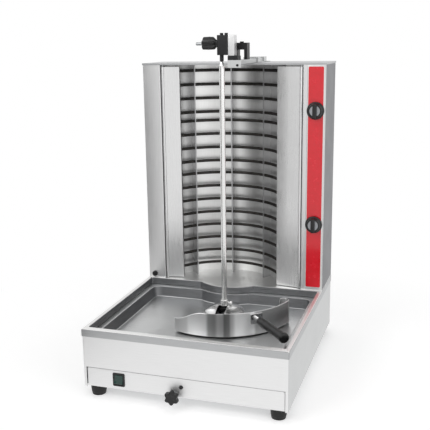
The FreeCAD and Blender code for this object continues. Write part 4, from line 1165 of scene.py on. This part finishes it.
# ---------------------------------------------------------------- heater housing
@dataclass
class Housing:
    """Upright housing: side walls, column with its red strip, reflector, rods and wings."""

    shop: Workshop
    sheet: float = 1.2 * MM
    bend: float = 2.0 * MM
    strip_width: float = 51 * MM
    strip_return: float = 45 * MM
    reflector_depth: float = 89 * MM
    rod_radius: float = 4 * MM
    rod_gap: float = 21 * MM
    rod_pitch: float = 37.7 * MM
    rod_bend: float = 15 * MM
    rod_setback: float = 8 * MM
    run_out: float = 12 * MM
    tail: float = 16 * MM
    runs: int = 4
    hem: float = 6 * MM
    bare_edge: float = 3 * MM
    knuckle: float = 4 * MM
    pin: float = 2.05 * MM
    places: dict = field(default_factory=dict)

    def find_places(self) -> None:
        """Works out where the reflector and the rods stand from their boxes, and asserts that the rods' back lies the
        rod gap in front of the reflector's back.
        """
        low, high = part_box("reflector")
        blanket = middle("insulation_blanket")
        depth = self.reflector_depth
        back = high.y - 1 * MM
        edge = back - depth
        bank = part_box("heater_bank_1")
        self.places = {"x": blanket.x, "edge": edge, "back": back, "low": low, "high": high,
                       "rod_back": bank[1].y - self.rod_radius}
        arc = self.places["rod_back"] + self.rod_gap - back
        assert abs(arc) < 1 * MM

    def left_side(self) -> None:
        """Left wall, front strip and its return, one sheet bent twice."""
        low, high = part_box("housing_side_left")
        plan = rounded_line([(low.x, high.y), (low.x, low.y), (high.x, low.y),
                             (high.x, low.y + self.strip_return)], self.bend)
        piece = folded_sheet("housing_side_left_sheet", plan, [low.z, high.z], self.sheet, -1)
        self.shop.fit(piece, "tall_sheet", "housing_side_left")

    def column(self) -> None:
        """Column face and its inner wall, one sheet bent once."""
        low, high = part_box("control_column")
        plan = rounded_line([(low.x, low.y + 60 * MM), (low.x, low.y), (high.x, low.y)], self.bend)
        piece = folded_sheet("control_column_sheet", plan, [low.z, high.z], self.sheet, -1)
        self.shop.fit(piece, "tall_sheet", "control_column")

    def facia(self) -> None:
        """Red strip on the column: a flat plate with softly rolled long edges."""
        low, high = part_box("red_facia")
        mid, half = (low + high) / 2, (high - low) / 2
        edge = 0.8 * MM
        steps = [(0.0, high.y), (0.0, low.y + edge), (0.3 * edge, low.y + 0.3 * edge), (edge, low.y),
                 (self.bare_edge, low.y), (self.bare_edge + 0.01 * MM, low.y)]
        rings = np.stack([Base.upright(mid, half, inset, y, 3.4 * MM) for inset, y in steps])
        piece = loft("red_facia_plate", rings)
        for face in piece.data.polygons:
            if face.normal.y < -0.9 and len(face.vertices) > 4:
                face.material_index = 1
        self.shop.fit(piece, ["tall_sheet", "red_enamel"], "red_facia")

    def reflector(self) -> None:
        """Polished sheet: left flange, arc about an upright axis, right flange."""
        p = self.places
        low, high = p["low"], p["high"]
        depth = self.reflector_depth
        spans = [(p["x"] - low.x), (high.x - p["x"])]
        arc = p["rod_back"] + self.rod_gap
        radius = self.arc_radius()
        centre_y = arc - radius
        half = math.acos((radius - depth) / radius)
        angle = np.linspace(math.pi / 2 + half, math.pi / 2 - half, 97)
        curve = np.stack([p["x"] + radius * np.cos(angle), centre_y + radius * np.sin(angle)], 1)
        plan = np.concatenate([[(p["x"] - spans[0], p["edge"])], curve, [(p["x"] + spans[1], p["edge"])]])
        piece = folded_sheet("reflector_sheet", plan, np.linspace(low.z, high.z, 9), 1 * MM, 1)
        self.shop.fit(piece, "reflector_sheet", "reflector")

    def arc_radius(self) -> float:
        """Radius of the reflector, the fixed size from rod_arc_radius; the blanket behind it follows the same circle,
        and its box is read but does not change the radius.
        """
        low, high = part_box("insulation_blanket")
        half_width, depth = (high.x - low.x) / 2, high.y - low.y
        return self.rod_arc_radius(half_width, depth)

    def rod_arc_radius(self, half_width: float, depth: float) -> float:
        """Radius of the reflector's inner face, kept as a driving size."""
        return 178 * MM

    def bank(self, node: str) -> None:
        """One heater element: level runs that follow the reflector, joined by half-round bends.

        A run is a line, an arc bent outwards, the main arc, and the same mirrored. A bend
        joins one run's end to the next one's below it.

        Args:
            node: the CAD node it stands for.
        """
        low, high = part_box(node)
        p = self.places
        radius = self.arc_radius() - self.rod_gap
        centre = np.array([p["x"], p["rod_back"] - radius])
        line_y = low.y + self.rod_radius
        rise = line_y + self.rod_bend - centre[1]
        reach = math.sqrt((radius + self.rod_bend) ** 2 - rise ** 2)
        lean = math.atan2(rise, reach)
        end_x = reach + self.run_out
        bend_centre = np.array([reach, rise])
        main = np.linspace(lean, math.pi - lean, 65)
        small = np.linspace(-math.pi / 2, lean - math.pi, 13)
        arc_out = bend_centre + self.rod_bend * np.stack([np.cos(small), np.sin(small)], 1)
        main_arc = radius * np.stack([np.cos(main), np.sin(main)], 1)
        half_run = np.concatenate([[(end_x, line_y - centre[1])], arc_out])
        mirror = half_run[::-1] * (-1, 1)
        run = centre + np.concatenate([half_run, main_arc[1:-1], mirror])
        turn = np.linspace(0, math.pi, 17)[1:-1]
        path, lift = [], []
        top = high.z - self.rod_radius
        for k in range(self.runs):
            z = top - k * self.rod_pitch
            way = 1 if k % 2 == 0 else -1
            path.append(at_height(run[::way], z))
            lift.append(np.tile((0.0, 0.0, way), (len(run), 1)))
            if k + 1 < self.runs:
                half_pitch = self.rod_pitch / 2
                x = centre[0] - way * (end_x + half_pitch * np.sin(turn))
                path.append(np.column_stack([x, np.full(len(turn), line_y), z - half_pitch * (1 - np.cos(turn))]))
                lift.append(np.column_stack([-np.sin(turn), np.zeros(len(turn)), way * np.cos(turn)]))
        tail = np.array([(high.x, line_y)])
        path.insert(0, at_height(tail, top))
        lift.insert(0, np.array([(0.0, 0.0, 1.0)]))
        path.append(at_height(tail, top - (self.runs - 1) * self.rod_pitch))
        lift.append(np.array([(0.0, 0.0, 1.0 if self.runs % 2 else -1.0)]))
        piece = tube(f"{node}_rod", np.concatenate(path), np.concatenate(lift), self.rod_radius)
        self.shop.fit(piece, "sheath", node)

    def wing(self, node: str, hinge: Vector, folds: Sequence[tuple[float, float]]) -> None:
        """One hinged wing: rolled knuckle, bent sheet and a hem turned to the back.

        Args:
            node: the CAD node it stands for.
            hinge: middle of its pins.
            folds: corners of the sheet in plan, counted from the hinge.
        """
        low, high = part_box(node)
        away = 1 if folds[-1][0] > 0 else -1
        corners = [(hinge.x, hinge.y)] + [(hinge.x + x * MM, hinge.y + y * MM) for x, y in folds]
        tip = corners[-1]
        corners.append((tip[0], tip[1] + self.hem))
        plan = rounded_line(corners, [0] + [self.bend] * (len(corners) - 2) + [0], 5)
        sheet = folded_sheet("sheet", plan, [low.z, high.z], self.sheet, -away)
        angle = np.linspace(0, 2 * math.pi, 33)[:-1]
        circle = np.stack([np.cos(angle), np.sin(angle)], 1)
        centre = np.array([hinge.x, hinge.y])
        rings = [at_height(centre + circle * r, z) for r, z in
                 ((self.pin, low.z), (self.knuckle, low.z), (self.knuckle, high.z), (self.pin, high.z),
                  (self.pin, low.z))]
        stack = np.stack(rings)
        faces = grid_faces(5, len(angle), wrap=True)
        knuckle = make_mesh("knuckle", stack.reshape(-1, 3), faces.tolist())
        self.shop.fit(joined(f"{node}_sheet", [sheet, knuckle]), "wing_sheet", node)

    def build(self) -> None:
        """Makes every piece of the housing."""
        self.find_places()
        self.left_side()
        self.column()
        self.facia()
        self.reflector()
        for number in range(1, 5):
            self.bank(f"heater_bank_{number}")
        left_low, right_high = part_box("wing_left")[0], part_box("wing_right")[1]
        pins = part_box("wing_pins")
        y = (pins[0].y + pins[1].y) / 2
        self.wing("wing_left", Vector((pins[0].x + 2 * MM, y, 0)), [(44.5, 9.3)])
        self.wing("wing_right", Vector((pins[1].x - 2 * MM, y, 0)), [(-34.5, 4.8), (-64.5, 9.3)])
        # The right wall takes a darker copy of the side stainless: painted shade.
        for node, key in {"housing_side_right": "shaded_side_sheet", "housing_back": "tall_sheet",
                          # The lid takes the same greyed skirt stainless.
                          "housing_lid": "skirt_sheet", "insulation_blanket": "wool",
                          "terminals": "ceramic", "rod_combs": "comb_steel", "wing_pins": "zinc",
                          "regulators": "black_plastic"}.items():
            self.shop.fit(finished_copy(node), key, node)


# ---------------------------------------------------------------- spit and head
@dataclass
class Spit:
    """Upright spit with its dome, collar and thumb screw."""

    shop: Workshop
    radius: float = 7 * MM
    point: float = 14 * MM
    dome_radius: float = 50 * MM
    dome_height: float = 20 * MM
    dome_wall: float = 2 * MM
    dome_skirt: float = 5 * MM
    notch_half: float = 12 * MM

    def rod(self) -> None:
        """Turned spit with a point."""
        low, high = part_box("spit_rod")
        tall = high.z - low.z
        profile = rounded_line([(0, 0), (self.radius - 1 * MM, 0), (self.radius, 1 * MM),
                                (self.radius, tall - self.point), (1.5 * MM, tall), (0, tall)],
                               [0, 0.4 * MM, 0.4 * MM, 4 * MM, 1 * MM, 0], 5)
        spit = middle("spit_rod")
        self.shop.fit(turned("spit_rod_turned", profile, (spit.x, spit.y, low.z), (0, 0, 1), 40),
                      "spit_steel", "spit_rod")

    def collar(self) -> None:
        """Collar with chamfered ends, and its screw with a knurled head."""
        low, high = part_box("spit_collar")
        spit = middle("spit_rod")
        tall, r, bore = high.z - low.z, (high.x - low.x) / 2, self.radius
        outline = rounded_line([(bore, 0), (r - 1 * MM, 0), (r, 1 * MM), (r, tall - 1 * MM),
                                (r - 1 * MM, tall), (bore, tall)], 0.4 * MM, 3)
        profile = np.concatenate([outline, outline[:1]])
        ring = turned("ring", profile, (spit.x, spit.y, low.z), (0, 0, 1), 40)
        self.shop.fit(ring, "spit_steel", "spit_collar")
        low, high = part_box("collar_screw")
        long = high.x - low.x
        profile = rounded_line([(0, 0), (3 * MM, 0), (3 * MM, long - 6 * MM), (4.2 * MM, long - 6 * MM),
                                (5 * MM, long - 5.2 * MM), (5 * MM, long - 0.8 * MM), (4.2 * MM, long), (0, long)],
                               0.3 * MM, 2)
        screw = turned("collar_screw_turned", profile, (low.x, spit.y, (low.z + high.z) / 2), (1, 0, 0), 48, 16, 0.06)
        self.shop.fit(screw, "spit_steel", "collar_screw")

    def dome(self) -> None:
        """Pressed dome over the slot, with a notch in front for the spit's foot.

        Height follows the circle through the rim and the crown; the angles of the notch are
        left out of the grid, so that its sides are radial.
        """
        low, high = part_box("hub_dome")
        spit = middle("spit_rod")
        rise = self.dome_height - self.dome_skirt
        ball = (self.dome_radius ** 2 + rise ** 2) / (2 * rise)
        r = np.concatenate([[self.dome_radius, self.dome_radius],
                            np.linspace(self.dome_radius, self.radius + 0.2 * MM, 22)[1:]])
        z = low.z + self.dome_skirt + np.sqrt(ball ** 2 - r ** 2) - (ball - rise)
        z[0] = low.z
        inner = 12 * MM
        half = np.arctan2(self.notch_half, np.clip(np.sqrt(np.maximum(r ** 2 - self.notch_half ** 2, 0)), inner, None))
        half = np.where(r > inner + 0.5 * MM, half, 0.0)
        share = np.linspace(0, 1, 81)
        angle = -math.pi / 2 + half[:, None] + share[None] * (2 * math.pi - 2 * half[:, None])
        points = np.stack([spit.x + r[:, None] * np.cos(angle), spit.y + r[:, None] * np.sin(angle),
                           np.broadcast_to(z[:, None], angle.shape)], -1)
        faces = grid_faces(len(r), len(share))
        piece = make_mesh("hub_dome_pressing", points.reshape(-1, 3), faces.tolist(), closed=False)
        piece = thickened(piece, self.dome_wall, 1)
        self.shop.fit(piece, "scoop_sheet", "hub_dome")

    def build(self) -> None:
        """Makes the spit and what turns with it."""
        self.rod()
        self.collar()
        self.dome()


@dataclass
class Head:
    """Sliding arm, bridge, plate, bearing block and its clamp on top of the housing."""

    shop: Workshop

    def build(self) -> None:
        """Makes every piece of the head."""
        low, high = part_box("bearing_block")
        self.shop.fit(rounded_block("bearing_block_casting", low, high, 3.5 * MM, 1.4 * MM), "black_steel",
                      "bearing_block")
        low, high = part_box("head_plate")
        self.shop.fit(rounded_block("head_plate_bar", low, high, 1.2 * MM, 1.2 * MM), "tall_sheet", "head_plate")
        for node, key in {"top_arm": "side_sheet", "arm_guides": "side_sheet", "arm_screws": "black_steel",
                          "head_bridge": "black_steel", "head_foot": "black_steel",
                          "bearing_tip": "black_steel", "block_bolts": "black_steel"}.items():
            self.shop.fit(finished_copy(node), key, node)
        low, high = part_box("clamp_spindle")
        mid = (low + high) / 2
        long = high.x - low.x
        r = (high.z - low.z) / 2
        profile = rounded_line([(0, 0), (r - 1 * MM, 0), (r, 1 * MM), (r, long), (0, long)],
                               [0, 0.5 * MM, 0.5 * MM, 0, 0], 3)
        self.shop.fit(turned("clamp_spindle_turned", profile, (low.x, mid.y, mid.z), (1, 0, 0), 28), "zinc",
                      "clamp_spindle")
        low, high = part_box("clamp_knob")
        centre = Vector((high.x, (low.y + high.y) / 2, (low.z + high.z) / 2))
        radius = 17 * MM
        StarKnob(self.shop, 5, 0.26).build("clamp_knob", Vector((-1, 0, 0)), radius, high.x - low.x, 0.0,
                                           Vector((centre.x, mid.y, mid.z)))


# ---------------------------------------------------------------- scoop
@dataclass
class Scoop:
    """Loose crescent scoop: floor, rolled wall, curled end, bracket and grip."""

    shop: Workshop
    radius: float = 186 * MM
    inner: float = 86 * MM
    wall: float = 1.2 * MM
    start: float = -25.0
    end: float = 78.0
    height: float = 63 * MM
    low_height: float = 38 * MM
    slope_end: float = 0.0
    curl: float = 13 * MM
    handle_angle: float = 41.5
    grip_start: float = 206 * MM
    grip_end: float = 328 * MM
    cap: float = 10 * MM
    stem: float = 5 * MM

    def along(self) -> tuple[np.ndarray, np.ndarray]:
        """The handle's outward direction and the spit's place in plan."""
        turn = math.radians(self.handle_angle - 90)
        spit = middle("spit_rod")
        return np.array([math.cos(turn), math.sin(turn), 0.0]), np.array([spit.x, spit.y, 0.0])

    def pan(self) -> None:
        """Floor and wall as one pressed sheet, and the curled end.

        The section runs from the floor's inner edge out to the wall through a round corner and
        up to a rolled rim; the wall's height falls along a cosine towards the low end.
        """
        low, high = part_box("scoop_pan")
        spit = self.along()[1]
        angles = np.radians(np.linspace(self.start - 90, self.end - 90, 73))
        share = np.clip((np.degrees(angles) + 90 - self.start) / (self.slope_end - self.start), 0, 1)
        tall = self.low_height + (self.height - self.low_height) * (1 - np.cos(math.pi * share)) / 2
        corner = 5 * MM
        bottom = low.z + self.wall
        section_r = np.concatenate([np.linspace(self.inner, self.radius - self.wall - corner, 8),
                                    self.radius - self.wall - corner
                                    + corner * np.sin(np.linspace(0, math.pi / 2, 7))[1:]])
        section_z = np.concatenate([np.zeros(8), corner * (1 - np.cos(np.linspace(0, math.pi / 2, 7)))[1:]])
        rim = self.wall
        up = np.linspace(0, 1, 6)[1:]
        top = tall[:, None] - self.wall - rim
        wall_z = corner + (top - corner) * up[None]
        wall_r = np.full_like(wall_z, self.radius - self.wall)
        r = np.concatenate([np.broadcast_to(section_r, (len(angles), len(section_r))), wall_r], 1)
        z = bottom + np.concatenate([np.broadcast_to(section_z, (len(angles), len(section_z))), wall_z], 1)
        points = np.stack([spit[0] + r * np.cos(angles)[:, None], spit[1] + r * np.sin(angles)[:, None], z], -1)
        faces = grid_faces(len(angles), r.shape[1])
        sheet = make_mesh("sheet", points.reshape(-1, 3), faces.tolist(), closed=False)
        sheet = thickened(sheet, self.wall, 1 if self.faces_inward(sheet) else -1)
        rim_points = np.stack([spit[0] + (self.radius - self.wall) * np.cos(angles),
                               spit[1] + (self.radius - self.wall) * np.sin(angles),
                               bottom + tall - self.wall - rim], 1)
        lift = np.tile((0.0, 0.0, 1.0), (len(rim_points), 1))
        bead = tube("bead", rim_points, lift, rim, 10)
        # Upright faces take the second finish, whose colour holds the painted reflection bands.
        self.shop.fit(joined("scoop_pan_pressing", [sheet, bead, self.curled_end(bottom)]),
                      ["scoop_sheet", "scoop_painted_reflection"], "scoop_pan")
        Base.upright_faces(bpy.data.objects["scoop_pan_pressing"])

    @staticmethod
    def faces_inward(sheet: bpy.types.Object) -> bool:
        """Whether the first face of the sheet, part of the floor, looks up."""
        return sheet.data.polygons[0].normal.z > 0

    def curled_end(self, bottom: float) -> bpy.types.Object:
        """Round curl at the tall end: a half circle from the wall back towards the spit, with a floor."""
        spit = self.along()[1]
        turn = math.radians(self.end - 90)
        mid = self.radius - self.curl
        centre = spit[:2] + mid * np.array([math.cos(turn), math.sin(turn)])
        angle = turn + np.linspace(0, math.pi, 33)
        plan = centre + (self.curl - self.wall) * np.stack([np.cos(angle), np.sin(angle)], 1)
        rows = np.stack([at_height(plan, bottom - self.wall + t * (self.height - self.wall)) for t in (0.0, 0.5, 1.0)])
        sheet = make_mesh("curl", rows.reshape(-1, 3), grid_faces(3, len(plan)).tolist(), closed=False)
        wall = thickened(sheet, self.wall, 1)
        lift = np.tile((0.0, 0.0, 1.0), (len(plan), 1))
        bead = tube("curl_bead", at_height(plan, bottom + self.height - 2 * self.wall), lift, self.wall, 10)
        circle = np.linspace(0, 2 * math.pi, 33)[:-1]
        disc = centre + (self.curl - 0.6 * MM) * np.stack([np.cos(circle), np.sin(circle)], 1)
        rings = np.stack([at_height(disc, bottom - self.wall), at_height(disc, bottom)])
        return joined("curled", [wall, bead, loft("disc", rings)])

    def handle(self) -> None:
        """Bracket pad and stem, grip with a swelling profile, and a round cap."""
        out, spit = self.along()
        z = (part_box("scoop_grip")[0].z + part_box("scoop_grip")[1].z) / 2
        origin = spit + (0, 0, z)
        across = np.array([-out[1], out[0], 0.0])
        width, tall = 16.2 * MM, 13 * MM
        flat = rounded_rectangle((0, 0), (width, tall), 3 * MM, 6, 12)
        bow = self.radius - np.sqrt(self.radius ** 2 - flat[:, 0] ** 2)
        rings = [origin + (self.radius + 0.1 * MM + depth - bow)[:, None] * out + flat[:, :1] * scale * across
                 + flat[:, 1:] * scale * np.array((0, 0, 1.0))
                 for depth, scale in ((0, 1.0), (2.2 * MM, 1.0), (2.9 * MM, 0.96))]
        pad = loft("pad", np.stack(rings))
        stem = turned("stem", rounded_line([(0, self.radius + 1 * MM), (self.stem, self.radius + 1 * MM),
                                            (self.stem, self.grip_start + 22 * MM),
                                            (0, self.grip_start + 24 * MM)], 0), origin, out, 24)
        self.shop.fit(joined("scoop_bracket_welded", [pad, stem]), "scoop_sheet", "scoop_bracket")
        long = self.grip_end - self.cap - self.grip_start
        t = np.linspace(0, 1, 40)
        swell = (9.6 + 1.9 * t + 0.5 * np.sin(2 * math.pi * t)) * MM
        body = np.stack([swell, self.grip_start + t * long], 1)
        profile = np.concatenate([[(0, self.grip_start + 0.6 * MM), (self.stem + 1 * MM, self.grip_start)], body,
                                  [(0, self.grip_start + long)]])
        self.shop.fit(turned("scoop_grip_moulding", profile, origin, out, 48, 0, 0.0, 40), "black_plastic",
                      "scoop_grip")
        start = self.grip_end - self.cap
        r = 12.5 * MM
        profile = rounded_line([(0, start), (r, start), (r, self.grip_end), (0, self.grip_end)],
                               [0, 1 * MM, 4 * MM, 0], 6)
        self.shop.fit(turned("scoop_cap_moulding", profile, origin, out, 48), "black_plastic", "scoop_cap")

    def build(self) -> None:
        """Makes the scoop."""
        self.pan()
        self.handle()


# ---------------------------------------------------------------- studio
@dataclass
class Studio:
    """Pale floor, white surround, soft lamps and the camera."""

    camera_at: tuple = (0.55997, -1.77477, 0.82693)
    yaw: float = 0.3087
    pitch: float = 0.2281
    roll: float = -0.0135
    lens: float = 62.86
    sensor: float = 36.0
    floor_lift: float = 0.38

    def camera(self) -> None:
        """Camera that looks to the left and down by yaw and pitch, with a small roll."""
        ahead = Vector((-math.sin(self.yaw) * math.cos(self.pitch), math.cos(self.yaw) * math.cos(self.pitch),
                        -math.sin(self.pitch)))
        right = ahead.cross(Vector((0, 0, 1))).normalized()
        up = right.cross(ahead)
        c, s = math.cos(self.roll), math.sin(self.roll)
        x_axis = c * right + s * up
        y_axis = -s * right + c * up
        data = bpy.data.cameras.new("camera")
        data.lens = self.lens
        data.sensor_width = self.sensor
        camera = bpy.data.objects.new("camera", data)
        rows = Matrix((x_axis, y_axis, -ahead)).transposed()
        camera.matrix_world = Matrix.Translation(self.camera_at) @ rows.to_4x4()
        bpy.context.scene.collection.objects.link(camera)
        bpy.context.scene.camera = camera

    def lamp(self, name: str, place: Sequence[float], size: float, power: float) -> None:
        """One square soft lamp aimed at the object's middle.

        Args:
            name: the lamp's name.
            place: where it hangs.
            size: edge length in metres.
            power: watts.
        """
        data = bpy.data.lights.new(name, "AREA")
        data.size = size
        data.energy = power
        lamp = bpy.data.objects.new(name, data)
        aim = Vector((0, 0, 0.4)) - Vector(place)
        lamp.matrix_world = Matrix.Translation(place) @ aim.to_track_quat("-Z", "Y").to_matrix().to_4x4()
        bpy.context.scene.collection.objects.link(lamp)

    def floor(self) -> None:
        """Pale floor that turns plain white away from the object for the camera and for reflections."""
        points = np.array([(-9, -9, 0), (9, -9, 0), (9, 9, 0), (-9, 9, 0)], float)
        floor = make_mesh("floor", points, [(0, 1, 2, 3)], closed=False)
        material, tree, shader = new_material("pale studio floor")
        shader.inputs["Base Color"].default_value = linear("#F4F4F4")
        shader.inputs["Roughness"].default_value = 0.9
        place = add(tree, "ShaderNodeTexCoord").outputs["Object"]
        away = add(tree, "ShaderNodeVectorMath", {0: place}, operation="LENGTH")
        fade = ramp(tree, away.outputs["Value"], 0.5, 0.95, 0.0, 1.0)
        path = add(tree, "ShaderNodeLightPath")
        mirrored = add(tree, "ShaderNodeMath", {0: path.outputs["Is Glossy Ray"],
                                                1: path.outputs["Is Transmission Ray"]}, operation="MAXIMUM")
        seen = add(tree, "ShaderNodeMath", {0: path.outputs["Is Camera Ray"], 1: mirrored.outputs["Value"]},
                   operation="MAXIMUM")
        share = add(tree, "ShaderNodeMath", {0: seen.outputs["Value"], 1: fade}, operation="MULTIPLY")
        share = add(tree, "ShaderNodeMath", {0: share.outputs["Value"], 1: mirrored.outputs["Value"]},
                    operation="MAXIMUM")
        lift = add(tree, "ShaderNodeMath", {0: path.outputs["Is Camera Ray"], 1: self.floor_lift},
                   operation="MULTIPLY")
        shader.inputs["Emission Color"].default_value = (1, 1, 1, 1)
        tree.links.new(lift.outputs["Value"], shader.inputs["Emission Strength"])
        white = add(tree, "ShaderNodeEmission", {"Color": (1, 1, 1, 1), "Strength": 1.0})
        mix = add(tree, "ShaderNodeMixShader", {0: share.outputs["Value"], 1: shader.outputs["BSDF"],
                                                2: white.outputs["Emission"]})
        output = next(n for n in tree.nodes if n.bl_idname == "ShaderNodeOutputMaterial")
        tree.links.new(mix.outputs["Shader"], output.inputs["Surface"])
        floor.data.materials.append(material)

    def surround(self) -> None:
        """White world for the camera, softer light for everything else."""
        world = bpy.data.worlds.new("studio")
        bpy.context.scene.world = world
        world.use_nodes = True
        tree = world.node_tree
        tree.nodes.clear()
        path = add(tree, "ShaderNodeLightPath")
        clear = add(tree, "ShaderNodeMath", {0: path.outputs["Is Camera Ray"],
                                             1: path.outputs["Is Transmission Ray"]}, operation="MAXIMUM")
        clear = add(tree, "ShaderNodeMath", {0: clear.outputs["Value"], 1: path.outputs["Is Glossy Ray"]},
                    operation="MAXIMUM")
        white = add(tree, "ShaderNodeBackground", {"Color": (1, 1, 1, 1), "Strength": 1.0})
        soft = add(tree, "ShaderNodeBackground", {"Color": (1, 1, 1, 1), "Strength": 0.6})
        mix = add(tree, "ShaderNodeMixShader", {0: clear.outputs["Value"], 1: soft.outputs[0],
                                                2: white.outputs[0]})
        add(tree, "ShaderNodeOutputWorld", {"Surface": mix.outputs["Shader"]})

    def flag(self, name: str, corners: Sequence[Sequence[float]], shade: str) -> None:
        """A dark card outside the view, seen only in the metal.

        Args:
            name: the card's name.
            corners: its four corners.
            shade: its hex colour.
        """
        card = make_mesh(name, np.array(corners, float), [(0, 1, 2, 3)], closed=False)
        material, tree, shader = new_material(f"{name} felt")
        shader.inputs["Base Color"].default_value = linear(shade)
        shader.inputs["Roughness"].default_value = 1.0
        card.data.materials.append(material)
        card.visible_camera = False

    def build(self) -> None:
        """Sets up camera, lamps, floor and surround."""
        self.camera()
        self.surround()
        self.floor()
        self.flag("left_card", [(-1.03, -1.74, 0), (-1.94, -0.83, 0), (-1.94, -0.83, 1.4), (-1.03, -1.74, 1.4)],
                  "#8A8A8A")
        self.flag("low_card", [(-0.38, -0.55, 0.002), (-1.03, -1.74, 0.002), (-1.94, -0.83, 0.002),
                               (-0.75, -0.2, 0.002)], "#8A8A8A")
        self.lamp("key", (-1.6, -2.2, 2.2), 1.6, 24)
        self.lamp("fill", (2.2, -1.6, 1.4), 1.6, 10)
        bpy.context.scene.view_settings.view_transform = "Standard"


def main() -> None:
    """Builds the studio and every sub-assembly."""
    logging.basicConfig(level=logging.INFO, format="%(message)s")
    Studio().build()
    shop = Workshop()
    Base(shop).build()
    low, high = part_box("lock_knob")
    knob = (low + high) / 2
    StarKnob(shop).build("lock_knob", Vector((0, -1, 0)), 18 * MM, high.y - low.y, 0.0,
                         Vector((knob.x, high.y, middle("pull_rod").z)))
    RockerSwitch(shop).build()
    Housing(shop).build()
    for node in ("control_knob_upper", "control_knob_lower"):
        ControlKnob(shop).build(node)
    Spit(shop).build()
    Head(shop).build()
    Scoop(shop).build()
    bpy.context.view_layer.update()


if __name__ == "__main__":
    main()
